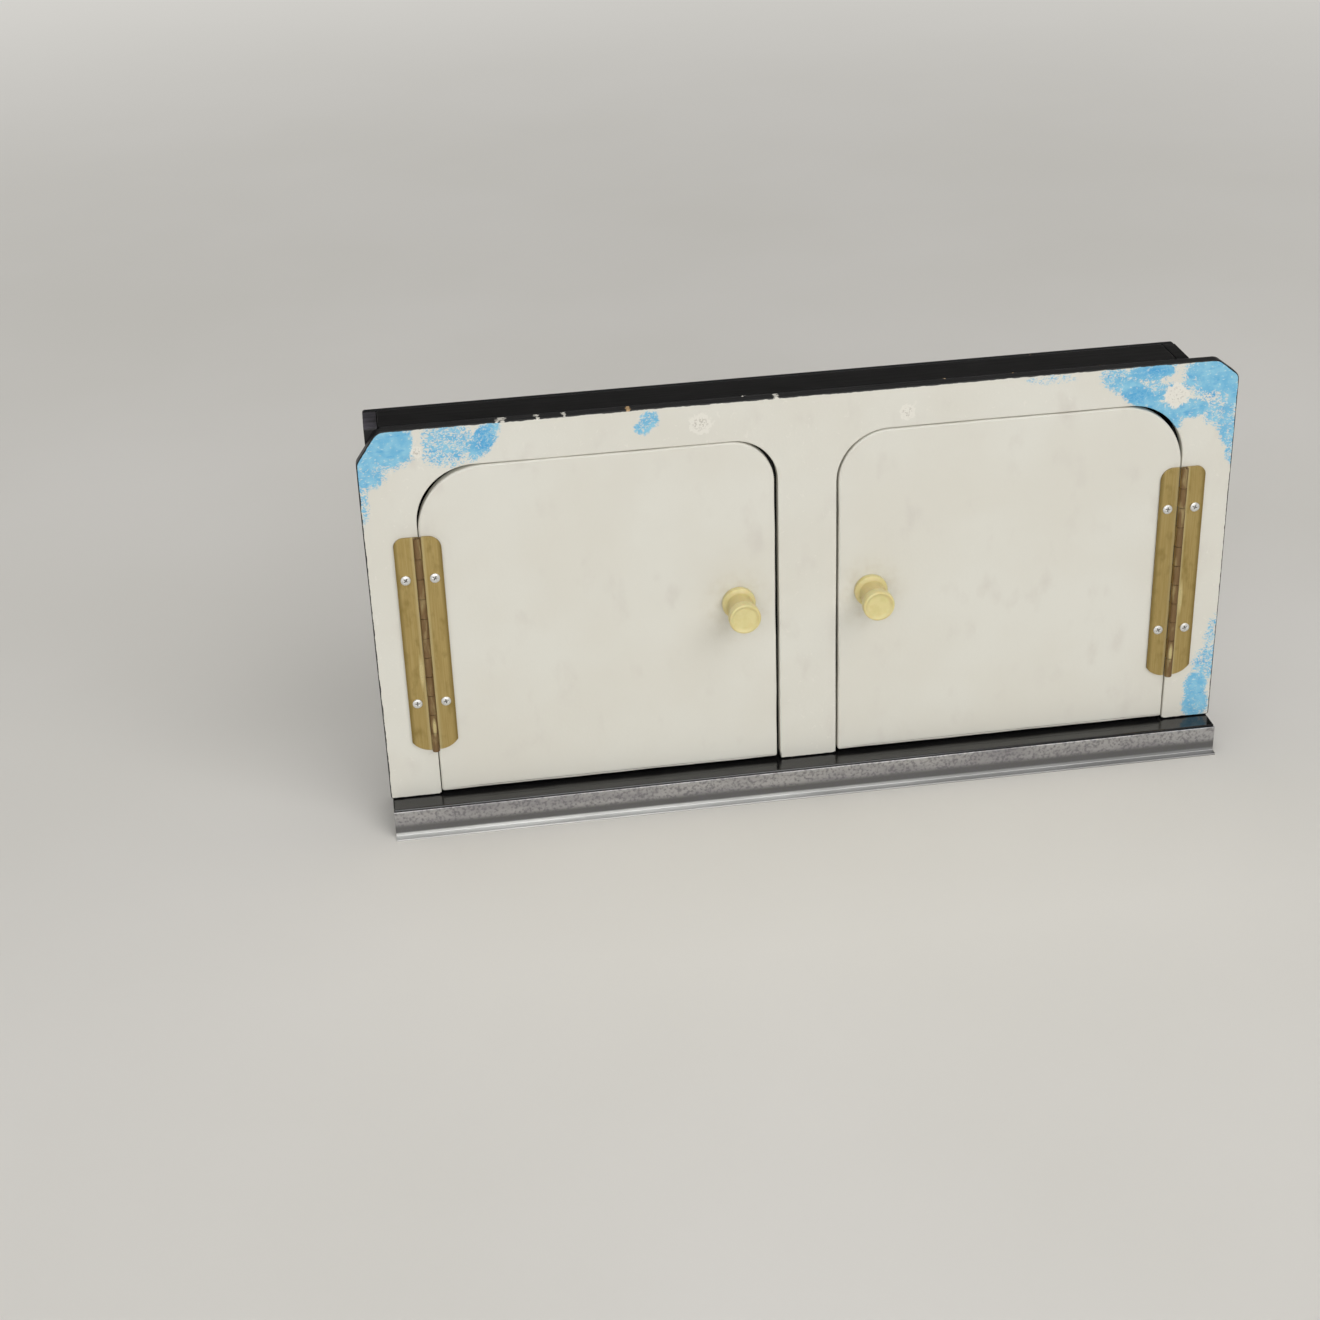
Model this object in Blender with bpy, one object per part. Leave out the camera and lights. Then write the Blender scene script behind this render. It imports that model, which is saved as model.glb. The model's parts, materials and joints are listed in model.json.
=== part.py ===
"""A miniature wardrobe: a painted sheet front with two hinged doors, on a shallow carcass and a base.

Sizes are in metres. X runs along the width, Y from front to back and Z up from the floor.
The origin is on the floor, under the middle of the object.
"""
import math

import bmesh
import bpy
from mathutils import Matrix, Vector

# Fits
CLEARANCE = 0.0003
DRILL_OVERRUN = 0.002

# Front panel: one sheet, with two door openings that run out at its lower edge
PANEL_WIDTH = 0.5
PANEL_HEIGHT = 0.2311
PANEL_THICKNESS = 0.0065
LEFT_CUT_ACROSS = 0.0125
LEFT_CUT_DOWN = 0.018
RIGHT_CUT_ACROSS = 0.013
RIGHT_CUT_DOWN = 0.01
CUT_ROUND = 0.0065
CENTRE_STILE = 0.0338
OUTER_STILE = 0.0298
TOP_RAIL = 0.0237
EDGE_ROUND = 0.0008

# Doors, cut from the same sheet; their upper corners are hand cut and differ a little
LEFT_LATCH_GAP = 0.0019
RIGHT_LATCH_GAP = 0.0013
HINGE_GAP = 0.0008
HEAD_GAP = 0.0008
SILL_GAP = 0.0022
OPENING_OUTER_RADIUS = 0.0335
DOOR_OUTER_RADIUS = 0.036
LEFT_INNER_RADIUS = 0.0255
RIGHT_INNER_RADIUS = 0.03

# Base board with a polished angle strip along its front
BASE_THICKNESS = 0.018
BASE_END_INSET = 0.001
LEDGE_DEPTH = 0.014
TRIM_THICKNESS = 0.001
TRIM_DROP = 0.001
TRIM_TOE = 0.0045

# Carcass behind the panel, set off to the left
LEFT_INSET = 0.006
RIGHT_INSET = 0.028
CARCASS_DEPTH = 0.0285
SIDE_THICKNESS = 0.0075
TOP_THICKNESS = 0.019
BACK_THICKNESS = 0.003

# Stop strip behind the centre stile, with a magnet for each door
STOP_OVERLAP = 0.01
STOP_WEB = 0.001
MAGNET_RADIUS = 0.003
MAGNET_LENGTH = 0.003
STRIKE_RADIUS = 0.0034
STRIKE_THICKNESS = 0.0012

# Knobs: a flange on the door, a narrow waist and a dished round face
KNOB_LENGTH = 0.023
KNOB_FLANGE_RADIUS = 0.00975
KNOB_FLANGE_THICKNESS = 0.0032
KNOB_WAIST_RADIUS = 0.0072
KNOB_FACE_RADIUS = 0.0092
KNOB_FACE_THICKNESS = 0.005
KNOB_DISH_DEPTH = 0.0012
LEFT_KNOB_INSET = 0.0219
RIGHT_KNOB_INSET = 0.0188
KNOB_HEIGHT = 0.1058
KNOB_SCREW_RADIUS = 0.0016
KNOB_SCREW_REACH = 0.012
KNOB_SCREW_HEAD_RADIUS = 0.0034
KNOB_SCREW_HEAD_HEIGHT = 0.0018

# Hinges: a length of continuous hinge on the face of each outer stile
HINGE_LENGTH = 0.1363
HINGE_RISE = 0.0292
HINGE_HALF_WIDTH = 0.0133
HINGE_AXIS_SHIFT = 0.0008
HINGE_CORNER_RADIUS = 0.0065
HINGE_FOOT_RISE = 0.006
LEAF_THICKNESS = 0.001
KNUCKLE_RADIUS = 0.0022
KNUCKLE_COUNT = 11
TONGUE_REACH = 0.0016
HINGE_PIN_RADIUS = 0.0008
HINGE_PIN_OVERHANG = 0.0008
HINGE_SCREW_MARGIN = 0.0051
HINGE_SCREW_RISE = 0.0318
HINGE_SCREW_DROP = 0.0257
HINGE_SCREW_WEB = 0.002
HINGE_SCREW_RADIUS = 0.0012
HINGE_SCREW_HEAD_RADIUS = 0.0028
HINGE_SCREW_HEAD_HEIGHT = 0.001

# Pins that hold the panel to the carcass, punched below the face and filled over
PIN_RADIUS = 0.0008
PIN_GRIP = 0.014
PIN_HEAD_RADIUS = 0.0015
PIN_HEAD_HEIGHT = 0.001
PIN_COVER = 0.0008
PIN_RISE = 0.005
PIN_SPREAD = 0.0588
PIN_END_INSET = 0.0335

# Screws that hold the carcass sides to the base
BASE_SCREW_RADIUS = 0.0014
BASE_SCREW_GRIP = 0.017
BASE_SCREW_HEAD_RADIUS = 0.0028
BASE_SCREW_HEAD_HEIGHT = 0.0016
BASE_SCREW_HEAD_RIM = 0.0004
BASE_SCREW_SINK = 0.0006
BASE_SCREW_SETBACK = 0.006

# Mesh detail
CORNER_STEPS = 9
CUT_STEPS = 4
EDGE_SEGMENTS = 2
DOME_STEPS = 3
RIM_STEPS = 4
WAIST_STEPS = 6
DISH_STEPS = 3
KNOB_SIDES = 24
ROUND_SIDES = 16
SMALL_SIDES = 12
SHARP_ANGLE = math.radians(40)
MERGE_DISTANCE = 0.000003

# Depths: the knobs reach furthest forward and the carcass furthest back, and Y is centred between them
FRONT_REACH = max(KNOB_LENGTH + CLEARANCE, LEDGE_DEPTH + TRIM_TOE)
FACE_Y = (FRONT_REACH - PANEL_THICKNESS - CARCASS_DEPTH) / 2
PANEL_BACK = FACE_Y + PANEL_THICKNESS
REAR_Y = PANEL_BACK + CARCASS_DEPTH
CARCASS_FRONT = PANEL_BACK + CLEARANCE
SIDE_REAR = REAR_Y - BACK_THICKNESS - CLEARANCE
STOP_REAR = CARCASS_FRONT + MAGNET_LENGTH + CLEARANCE + STOP_WEB
TRIM_FACE = FACE_Y - LEDGE_DEPTH
BASE_FRONT = TRIM_FACE + TRIM_THICKNESS + CLEARANCE
LEAF_BACK = FACE_Y - CLEARANCE
LEAF_FRONT = LEAF_BACK - LEAF_THICKNESS
HINGE_Y = LEAF_BACK - KNUCKLE_RADIUS
HINGE_SCREW_SEAT = LEAF_FRONT - CLEARANCE
HINGE_SCREW_END = PANEL_BACK - HINGE_SCREW_WEB
PIN_SEAT = FACE_Y + PIN_COVER
PIN_LENGTH = PANEL_THICKNESS - PIN_COVER + PIN_GRIP

# Heights
BASE_TOP = BASE_THICKNESS
PANEL_BOTTOM = BASE_TOP + CLEARANCE
PANEL_TOP = PANEL_BOTTOM + PANEL_HEIGHT
CEILING = PANEL_TOP - TOP_THICKNESS
OPENING_TOP = PANEL_TOP - TOP_RAIL
DOOR_BOTTOM = BASE_TOP + SILL_GAP
DOOR_TOP = OPENING_TOP - HEAD_GAP
HINGE_BOTTOM = DOOR_BOTTOM + HINGE_RISE
HINGE_TOP = HINGE_BOTTOM + HINGE_LENGTH
HINGE_SCREW_HEIGHTS = (HINGE_BOTTOM + HINGE_SCREW_RISE, HINGE_TOP - HINGE_SCREW_DROP)
KNOB_CENTRE = DOOR_BOTTOM + KNOB_HEIGHT
PIN_CENTRE = CEILING + PIN_RISE
BASE_SCREW_LENGTH = BASE_THICKNESS - BASE_SCREW_SINK + BASE_SCREW_GRIP

# Widths
HALF_WIDTH = PANEL_WIDTH / 2
PIN_OUTER = HALF_WIDTH - PIN_END_INSET
BASE_HALF = HALF_WIDTH - BASE_END_INSET
OPENING_INNER = CENTRE_STILE / 2
OPENING_OUTER = HALF_WIDTH - OUTER_STILE
DOOR_OUTER = OPENING_OUTER - HINGE_GAP
HINGE_X = OPENING_OUTER + HINGE_AXIS_SHIFT
HINGE_SCREW_OFFSET = HINGE_HALF_WIDTH - HINGE_SCREW_MARGIN
WIDEST_LATCH_GAP = max(LEFT_LATCH_GAP, RIGHT_LATCH_GAP)
STOP_HALF = OPENING_INNER + WIDEST_LATCH_GAP + STOP_OVERLAP
MAGNET_X = STOP_HALF - STOP_OVERLAP / 2
CARCASS_LEFT = LEFT_INSET - HALF_WIDTH
CARCASS_RIGHT = HALF_WIDTH - RIGHT_INSET
LEFT_SIDE_CENTRE = CARCASS_LEFT + SIDE_THICKNESS / 2
RIGHT_SIDE_CENTRE = CARCASS_RIGHT - SIDE_THICKNESS / 2

# Colour, roughness and metallic value of each finish
FINISHES = {
    "cream_paint": ("D8D5C8", 0.5, 0.0),
    "black_paint": ("1C1C1D", 0.35, 0.0),
    "polished_aluminium": ("C9CBCD", 0.12, 1.0),
    "aged_brass": ("9A8447", 0.38, 1.0),
    "plated_steel": ("BDBFC1", 0.3, 1.0),
    "cream_plastic": ("E1D797", 0.35, 0.0),
}

# Turns that point a piece made along +Z towards the front, the back or the floor
FACING_FRONT = (math.radians(90), 0, 0)
FACING_BACK = (math.radians(-90), 0, 0)
FACING_DOWN = (math.radians(180), 0, 0)


def linear_colour(hex_text):
    """Turn six hex digits of sRGB into linear red, green, blue and alpha."""
    channels = [int(hex_text[i:i + 2], 16) / 255 for i in (0, 2, 4)]
    return [c / 12.92 if c <= 0.04045 else ((c + 0.055) / 1.055) ** 2.4 for c in channels] + [1.0]


def add_material(piece, finish):
    """Give a piece its own material in one of the named finishes."""
    colour, roughness, metallic = FINISHES[finish]
    material = bpy.data.materials.new(f"{piece.name}_{finish}")
    material.use_nodes = True
    shader = material.node_tree.nodes["Principled BSDF"]
    shader.inputs["Base Color"].default_value = linear_colour(colour)
    shader.inputs["Roughness"].default_value = roughness
    shader.inputs["Metallic"].default_value = metallic
    material.diffuse_color = linear_colour(colour)
    piece.material_slots[0].link = "OBJECT"
    piece.material_slots[0].material = material


def add_to_scene(name, mesh, location, parent):
    """Put a mesh into the scene at a place in the world, under a parent that stands unturned."""
    item = bpy.data.objects.new(name, mesh)
    bpy.context.scene.collection.objects.link(item)
    item.location = location
    if parent:
        item.parent = parent
        item.location -= parent.location
    return item


def place(name, mesh, finish, location=(0, 0, 0), rotation=(0, 0, 0), parent=None):
    """Add one piece of the object, with its finish."""
    piece = add_to_scene(name, mesh, location, parent)
    piece.rotation_euler = rotation
    if not mesh.materials:
        mesh.materials.append(None)
    add_material(piece, finish)
    return piece


def finished_mesh(name, shape):
    """Turn a finished bmesh into a mesh with its faces pointing out."""
    bmesh.ops.recalc_face_normals(shape, faces=shape.faces)
    mesh = bpy.data.meshes.new(name)
    shape.to_mesh(mesh)
    shape.free()
    return mesh


def spread(point, level, axis):
    """Place a point of an outline at a level along the axis that the outline is extruded on."""
    first, second = point
    if axis == "X":
        return Vector((level, first, second))
    if axis == "Y":
        return Vector((first, level, second))
    return Vector((first, second, level))


def prism_mesh(name, outline, axis, low, high, origin=(0, 0, 0)):
    """Extrude a closed outline along one axis, from low to high, measured from an origin."""
    shape = bmesh.new()
    corners = [shape.verts.new(spread(point, low, axis) - Vector(origin)) for point in outline]
    face = shape.faces.new(corners)
    grown = bmesh.ops.extrude_face_region(shape, geom=[face])
    moved = [item for item in grown["geom"] if isinstance(item, bmesh.types.BMVert)]
    bmesh.ops.translate(shape, verts=moved, vec=spread((0, 0), high - low, axis))
    return finished_mesh(name, shape)


def board(name, low, high, finish):
    """A plain rectangular board between two opposite corners."""
    outline = [(low[0], low[1]), (high[0], low[1]), (high[0], high[1]), (low[0], high[1])]
    return place(name, prism_mesh(name, outline, "Z", low[2], high[2]), finish)


def turned_mesh(name, profile, sides):
    """Turn a profile of (radius, height) points about Z."""
    shape = bmesh.new()
    points = [shape.verts.new((radius, 0, height)) for radius, height in profile]
    edges = [shape.edges.new(pair) for pair in zip(points, points[1:])]
    around = {"cent": (0, 0, 0), "axis": (0, 0, 1), "angle": math.tau, "steps": sides}
    bmesh.ops.spin(shape, geom=points + edges, use_merge=True, **around)
    bmesh.ops.remove_doubles(shape, verts=shape.verts, dist=MERGE_DISTANCE)
    mesh = finished_mesh(name, shape)
    mesh.shade_smooth()
    mesh.set_sharp_from_angle(angle=SHARP_ANGLE)
    return mesh


def disc_mesh(name, radius, thickness):
    """A round disc whose upper face is at its origin."""
    return turned_mesh(name, [(0, -thickness), (radius, -thickness), (radius, 0), (0, 0)], ROUND_SIDES)


def arc(centre, radius, start, end, steps=CORNER_STEPS):
    """Points along an arc, between two angles in degrees."""
    angles = [math.radians(start + (end - start) * i / steps) for i in range(steps + 1)]
    return [(centre[0] + radius * math.cos(a), centre[1] + radius * math.sin(a)) for a in angles]


def round_edges(piece):
    """Ease the sharp edges of a sheet or board."""
    bevel = piece.modifiers.new("eased edges", "BEVEL")
    bevel.width = EDGE_ROUND
    bevel.segments = EDGE_SEGMENTS
    bevel.limit_method = "ANGLE"
    bevel.angle_limit = SHARP_ANGLE


def rods(name, spans, sides, parent):
    """One hidden helper made of round rods, each given by its two ends and its radius."""
    shape = bmesh.new()
    for start, end, radius in spans:
        run = Vector(end) - Vector(start)
        turn = run.to_track_quat("Z", "Y").to_matrix().to_4x4()
        middle = Matrix.Translation((Vector(start) + Vector(end)) / 2)
        size = {"segments": sides, "radius1": radius, "radius2": radius, "depth": run.length}
        bmesh.ops.create_cone(shape, cap_ends=True, matrix=middle @ turn, **size)
    helper = add_to_scene(name, finished_mesh(name, shape), (0, 0, 0), parent)
    helper.hide_render = True
    helper.display_type = "WIRE"
    return helper


def combine(piece, helper, operation):
    """Join a helper to a piece, or cut it away."""
    boolean = piece.modifiers.new(helper.name, "BOOLEAN")
    boolean.operation = operation
    boolean.solver = "EXACT"
    boolean.object = helper


def drill(piece, name, spans, sides=SMALL_SIDES):
    """Cut round holes into a piece."""
    combine(piece, rods(f"{piece.name}_{name}", spans, sides, piece.parent), "DIFFERENCE")


def doorway_outline(side, inner, outer, bottom, top, outer_radius):
    """Outline of a door or its opening, between two distances from the middle; side is -1 for left, 1 for right."""
    inner_radius = LEFT_INNER_RADIUS if side < 0 else RIGHT_INNER_RADIUS
    points = [(inner, bottom)]
    points += arc((inner + inner_radius, top - inner_radius), inner_radius, 180, 90)
    points += arc((outer - outer_radius, top - outer_radius), outer_radius, 90, 0)
    points.append((outer, bottom))
    return [(side * x, z) for x, z in points]


def hinge_screw_places(side, direction):
    """Where the two screws of one leaf stand; direction is 1 for the fixed leaf, -1 for the door leaf."""
    x = side * (HINGE_X + direction * HINGE_SCREW_OFFSET)
    return [(x, z) for z in HINGE_SCREW_HEIGHTS]


def pin_places():
    """The panel pins, from left to right, in one row."""
    return [(x, PIN_CENTRE) for x in (-PIN_OUTER, -PIN_SPREAD, PIN_SPREAD, PIN_OUTER)]


def base_screw_places():
    """Two screws into the lower end of the left carcass side, then two into the right one."""
    rows = (CARCASS_FRONT + BASE_SCREW_SETBACK, SIDE_REAR - BASE_SCREW_SETBACK)
    return [(x, y) for x in (LEFT_SIDE_CENTRE, RIGHT_SIDE_CENTRE) for y in rows]


def hinge_screw_holes(places):
    """Blind holes for hinge screws, from the face of the sheet."""
    mouth = LEAF_FRONT - DRILL_OVERRUN
    return [((x, mouth, z), (x, HINGE_SCREW_END, z), HINGE_SCREW_RADIUS + CLEARANCE) for x, z in places]


def cut_corner(across, down):
    """The panel's upper left corner, cut off straight, with a round at each end of the cut."""
    slope = math.atan2(down, across)
    lower_reach = CUT_ROUND * math.tan((math.pi / 2 - slope) / 2)
    upper_reach = CUT_ROUND * math.tan(slope / 2)
    lower_centre = (CUT_ROUND - HALF_WIDTH, PANEL_TOP - down - lower_reach)
    upper_centre = (across + upper_reach - HALF_WIDTH, PANEL_TOP - CUT_ROUND)
    cut_faces = 90 + math.degrees(slope)
    lower = arc(lower_centre, CUT_ROUND, 180, cut_faces, CUT_STEPS)
    return lower + arc(upper_centre, CUT_ROUND, cut_faces, 90, CUT_STEPS)


def front_panel():
    """The painted front sheet: a top rail and three stiles in one piece."""
    outline = [(-HALF_WIDTH, PANEL_BOTTOM)]
    outline += cut_corner(LEFT_CUT_ACROSS, LEFT_CUT_DOWN)
    outline += [(-x, z) for x, z in reversed(cut_corner(RIGHT_CUT_ACROSS, RIGHT_CUT_DOWN))]
    outline.append((HALF_WIDTH, PANEL_BOTTOM))
    opening = (OPENING_INNER, OPENING_OUTER, PANEL_BOTTOM, OPENING_TOP, OPENING_OUTER_RADIUS)
    outline += reversed(doorway_outline(1, *opening))
    outline += doorway_outline(-1, *opening)
    mesh = prism_mesh("front_panel", outline, "Y", FACE_Y, PANEL_BACK)
    panel = place("front_panel", mesh, "cream_paint")
    round_edges(panel)
    screws = hinge_screw_places(-1, 1) + hinge_screw_places(1, 1)
    drill(panel, "hinge_screw_holes", hinge_screw_holes(screws))
    bottom = PIN_SEAT - CLEARANCE
    mouth = PANEL_BACK + DRILL_OVERRUN
    radius = PIN_HEAD_RADIUS + CLEARANCE
    drill(panel, "pin_holes", [((x, bottom, z), (x, mouth, z), radius) for x, z in pin_places()])


def panel_pins():
    """The pins behind the filled spots of the top rail."""
    taper = 2 * PIN_RADIUS
    profile = [(0, -PIN_LENGTH), (PIN_RADIUS, taper - PIN_LENGTH), (PIN_RADIUS, -PIN_HEAD_HEIGHT)]
    profile += [(PIN_HEAD_RADIUS, -PIN_HEAD_HEIGHT), (PIN_HEAD_RADIUS, 0), (0, 0)]
    mesh = turned_mesh("panel_pin", profile, SMALL_SIDES)
    for number, (x, z) in enumerate(pin_places(), start=1):
        place(f"panel_pin_{number}", mesh, "plated_steel", (x, PIN_SEAT, z), FACING_FRONT)


def carcass():
    """The black box behind the panel: two sides, a top between them and a back over all three."""
    foot = BASE_TOP + CLEARANCE
    pin_end = PIN_SEAT + PIN_LENGTH + CLEARANCE
    pin_mouth = CARCASS_FRONT - DRILL_OVERRUN
    pin_radius = PIN_RADIUS + CLEARANCE
    pins = [((x, pin_mouth, z), (x, pin_end, z), pin_radius) for x, z in pin_places()]
    screw_end = BASE_SCREW_SINK + BASE_SCREW_LENGTH + CLEARANCE
    screw_mouth = foot - DRILL_OVERRUN
    screw_radius = BASE_SCREW_RADIUS + CLEARANCE
    screws = [((x, y, screw_mouth), (x, y, screw_end), screw_radius) for x, y in base_screw_places()]
    left_inner = CARCASS_LEFT + SIDE_THICKNESS
    right_inner = CARCASS_RIGHT - SIDE_THICKNESS
    sides = (
        ("carcass_left_side", CARCASS_LEFT, left_inner, pins + screws[:2]),
        ("carcass_right_side", right_inner, CARCASS_RIGHT, pins + screws[2:]),
    )
    for name, low_x, high_x, holes in sides:
        side = board(name, (low_x, CARCASS_FRONT, foot), (high_x, SIDE_REAR, PANEL_TOP), "black_paint")
        drill(side, "holes", holes)
    top_low = (left_inner + CLEARANCE, CARCASS_FRONT, CEILING)
    top_high = (right_inner - CLEARANCE, SIDE_REAR, PANEL_TOP)
    top = board("carcass_top", top_low, top_high, "black_paint")
    drill(top, "pin_holes", pins)
    back_low = (CARCASS_LEFT, REAR_Y - BACK_THICKNESS, foot)
    board("carcass_back", back_low, (CARCASS_RIGHT, REAR_Y, PANEL_TOP), "black_paint")


def door_stop():
    """The strip behind the centre stile that both doors close against, with its two magnets."""
    low = (-STOP_HALF, CARCASS_FRONT, BASE_TOP + CLEARANCE)
    strip = board("door_stop", low, (STOP_HALF, STOP_REAR, CEILING - CLEARANCE), "black_paint")
    mouth = CARCASS_FRONT - DRILL_OVERRUN
    seat = STOP_REAR - STOP_WEB
    radius = MAGNET_RADIUS + CLEARANCE
    holes = [((x, mouth, KNOB_CENTRE), (x, seat, KNOB_CENTRE), radius) for x in (-MAGNET_X, MAGNET_X)]
    drill(strip, "magnet_holes", holes, ROUND_SIDES)
    mesh = disc_mesh("magnet", MAGNET_RADIUS, MAGNET_LENGTH)
    for name, x in (("left_magnet", -MAGNET_X), ("right_magnet", MAGNET_X)):
        place(name, mesh, "plated_steel", (x, CARCASS_FRONT, KNOB_CENTRE), FACING_FRONT)


def base_board():
    """The board that everything stands on, with countersunk holes from below."""
    low = (-BASE_HALF, BASE_FRONT, 0)
    plank = board("base_board", low, (BASE_HALF, REAR_Y, BASE_TOP), "black_paint")
    round_edges(plank)
    mouth = -DRILL_OVERRUN
    end = BASE_TOP + DRILL_OVERRUN
    seat = BASE_SCREW_SINK + BASE_SCREW_HEAD_HEIGHT + CLEARANCE
    shank = BASE_SCREW_RADIUS + CLEARANCE
    head = BASE_SCREW_HEAD_RADIUS + CLEARANCE
    places = base_screw_places()
    drill(plank, "shank_holes", [((x, y, mouth), (x, y, end), shank) for x, y in places])
    drill(plank, "head_holes", [((x, y, mouth), (x, y, seat), head) for x, y in places])


def base_screws():
    """The screws that come up through the base into the carcass sides."""
    taper = 2 * BASE_SCREW_RADIUS
    profile = [(0, -BASE_SCREW_LENGTH), (BASE_SCREW_RADIUS, taper - BASE_SCREW_LENGTH)]
    profile.append((BASE_SCREW_RADIUS, -BASE_SCREW_HEAD_HEIGHT))
    profile += [(BASE_SCREW_HEAD_RADIUS, -BASE_SCREW_HEAD_RIM), (BASE_SCREW_HEAD_RADIUS, 0), (0, 0)]
    mesh = turned_mesh("base_screw", profile, SMALL_SIDES)
    for number, (x, y) in enumerate(base_screw_places(), start=1):
        place(f"base_screw_{number}", mesh, "plated_steel", (x, y, BASE_SCREW_SINK), FACING_DOWN)


def base_trim():
    """The polished angle on the front of the base: an upright leg and a short toe on the floor."""
    toe = TRIM_FACE - TRIM_TOE
    rear = TRIM_FACE + TRIM_THICKNESS
    top = BASE_THICKNESS - TRIM_DROP
    outline = [(toe, 0), (rear, 0), (rear, top), (TRIM_FACE, top)]
    outline += [(TRIM_FACE, TRIM_THICKNESS), (toe, TRIM_THICKNESS)]
    place("base_trim", prism_mesh("base_trim", outline, "X", -BASE_HALF, BASE_HALF), "polished_aluminium")


def hinge_leaf(name, side, direction, parent):
    """One leaf: a plate with rounded ends and every second knuckle; direction is as for its screws."""
    axis_x = side * HINGE_X
    pitch = HINGE_LENGTH / KNUCKLE_COUNT
    root = KNUCKLE_RADIUS + CLEARANCE
    tip = KNUCKLE_RADIUS - TONGUE_REACH
    corner = HINGE_HALF_WIDTH - HINGE_CORNER_RADIUS
    reach = HINGE_HALF_WIDTH - root
    foot_radius = (reach ** 2 + HINGE_FOOT_RISE ** 2) / (2 * HINGE_FOOT_RISE)
    foot_sweep = math.degrees(math.asin(reach / foot_radius))
    outline = arc((root, HINGE_BOTTOM + foot_radius), foot_radius, -90, foot_sweep - 90)
    outline += arc((corner, HINGE_TOP - HINGE_CORNER_RADIUS), HINGE_CORNER_RADIUS, 0, 90)
    outline.append((root, HINGE_TOP))
    knuckles = []
    first = 0 if direction > 0 else 1
    for slot in reversed(range(first, KNUCKLE_COUNT, 2)):
        low = HINGE_BOTTOM + slot * pitch + CLEARANCE / 2
        high = low + pitch - CLEARANCE
        outline += [(root, high), (tip, high), (tip, low), (root, low)]
        knuckles.append(((axis_x, HINGE_Y, low), (axis_x, HINGE_Y, high), KNUCKLE_RADIUS))
    outline = [(axis_x + side * direction * x, z) for x, z in outline]
    origin = (axis_x, HINGE_Y, HINGE_BOTTOM)
    mesh = prism_mesh(name, outline, "Y", LEAF_FRONT, LEAF_BACK, origin)
    leaf = place(name, mesh, "aged_brass", origin, parent=parent)
    combine(leaf, rods(f"{name}_knuckles", knuckles, ROUND_SIDES, parent), "UNION")
    bore_low = (axis_x, HINGE_Y, HINGE_BOTTOM - DRILL_OVERRUN)
    bore_high = (axis_x, HINGE_Y, HINGE_TOP + DRILL_OVERRUN)
    drill(leaf, "bore", [(bore_low, bore_high, HINGE_PIN_RADIUS + CLEARANCE)])
    front = LEAF_FRONT - DRILL_OVERRUN
    rear = LEAF_BACK + DRILL_OVERRUN
    radius = HINGE_SCREW_RADIUS + CLEARANCE
    places = hinge_screw_places(side, direction)
    drill(leaf, "screw_holes", [((x, front, z), (x, rear, z), radius) for x, z in places])


def screw_mesh(name, length, radius, head_radius, head_height):
    """A pointed screw below its origin, with a domed head above it."""
    profile = [(0, -length), (radius, radius - length), (radius, 0)]
    profile += [(x * head_radius, z * head_height) for x, z in arc((0, 0), 1, 0, 90, DOME_STEPS)[:-1]]
    profile.append((0, head_height))
    return turned_mesh(name, profile, SMALL_SIDES)


def hinge(side, word, axis, screw):
    """A continuous hinge: its fixed leaf and pin stay with the panel, its other leaf goes with the door."""
    low = -HINGE_PIN_OVERHANG
    profile = [(0, low), (HINGE_PIN_RADIUS, low), (HINGE_PIN_RADIUS, HINGE_LENGTH), (0, HINGE_LENGTH)]
    pin = turned_mesh("hinge_pin", profile, SMALL_SIDES)
    place(f"{word}_hinge_pin", pin, "aged_brass", axis.location)
    for leaf, direction, parent in (("fixed", 1, None), ("door", -1, axis)):
        hinge_leaf(f"{word}_hinge_{leaf}_leaf", side, direction, parent)
        for level, (x, z) in zip(("lower", "upper"), hinge_screw_places(side, direction)):
            name = f"{word}_{leaf}_leaf_{level}_screw"
            place(name, screw, "plated_steel", (x, HINGE_SCREW_SEAT, z), FACING_FRONT, parent)


def knob_mesh():
    """A turned knob: round flange, waist, round face with a shallow dish, and a screw hole in the back."""
    bore = KNOB_SCREW_RADIUS + CLEARANCE
    bore_end = KNOB_SCREW_REACH + CLEARANCE
    flange_round = KNOB_FLANGE_THICKNESS / 2
    face_round = KNOB_FACE_THICKNESS / 2
    flange_rim = KNOB_FLANGE_RADIUS - flange_round
    face_rim = KNOB_FACE_RADIUS - face_round
    waist_length = KNOB_LENGTH - KNOB_FACE_THICKNESS - KNOB_FLANGE_THICKNESS
    profile = [(0, bore_end), (bore, bore_end), (bore, 0)]
    profile += arc((flange_rim, flange_round), flange_round, -90, 90, RIM_STEPS)
    for step in range(1, WAIST_STEPS):
        share = 2 * step / WAIST_STEPS - 1
        rim = flange_rim if share < 0 else face_rim
        radius = KNOB_WAIST_RADIUS + (rim - KNOB_WAIST_RADIUS) * share * share
        profile.append((radius, KNOB_FLANGE_THICKNESS + waist_length * step / WAIST_STEPS))
    profile += arc((face_rim, KNOB_LENGTH - face_round), face_round, -90, 90, RIM_STEPS)
    for step in range(1, DISH_STEPS + 1):
        share = 1 - step / DISH_STEPS
        profile.append((face_rim * share, KNOB_LENGTH - KNOB_DISH_DEPTH * (1 - share * share)))
    return turned_mesh("knob", profile, KNOB_SIDES)


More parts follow.
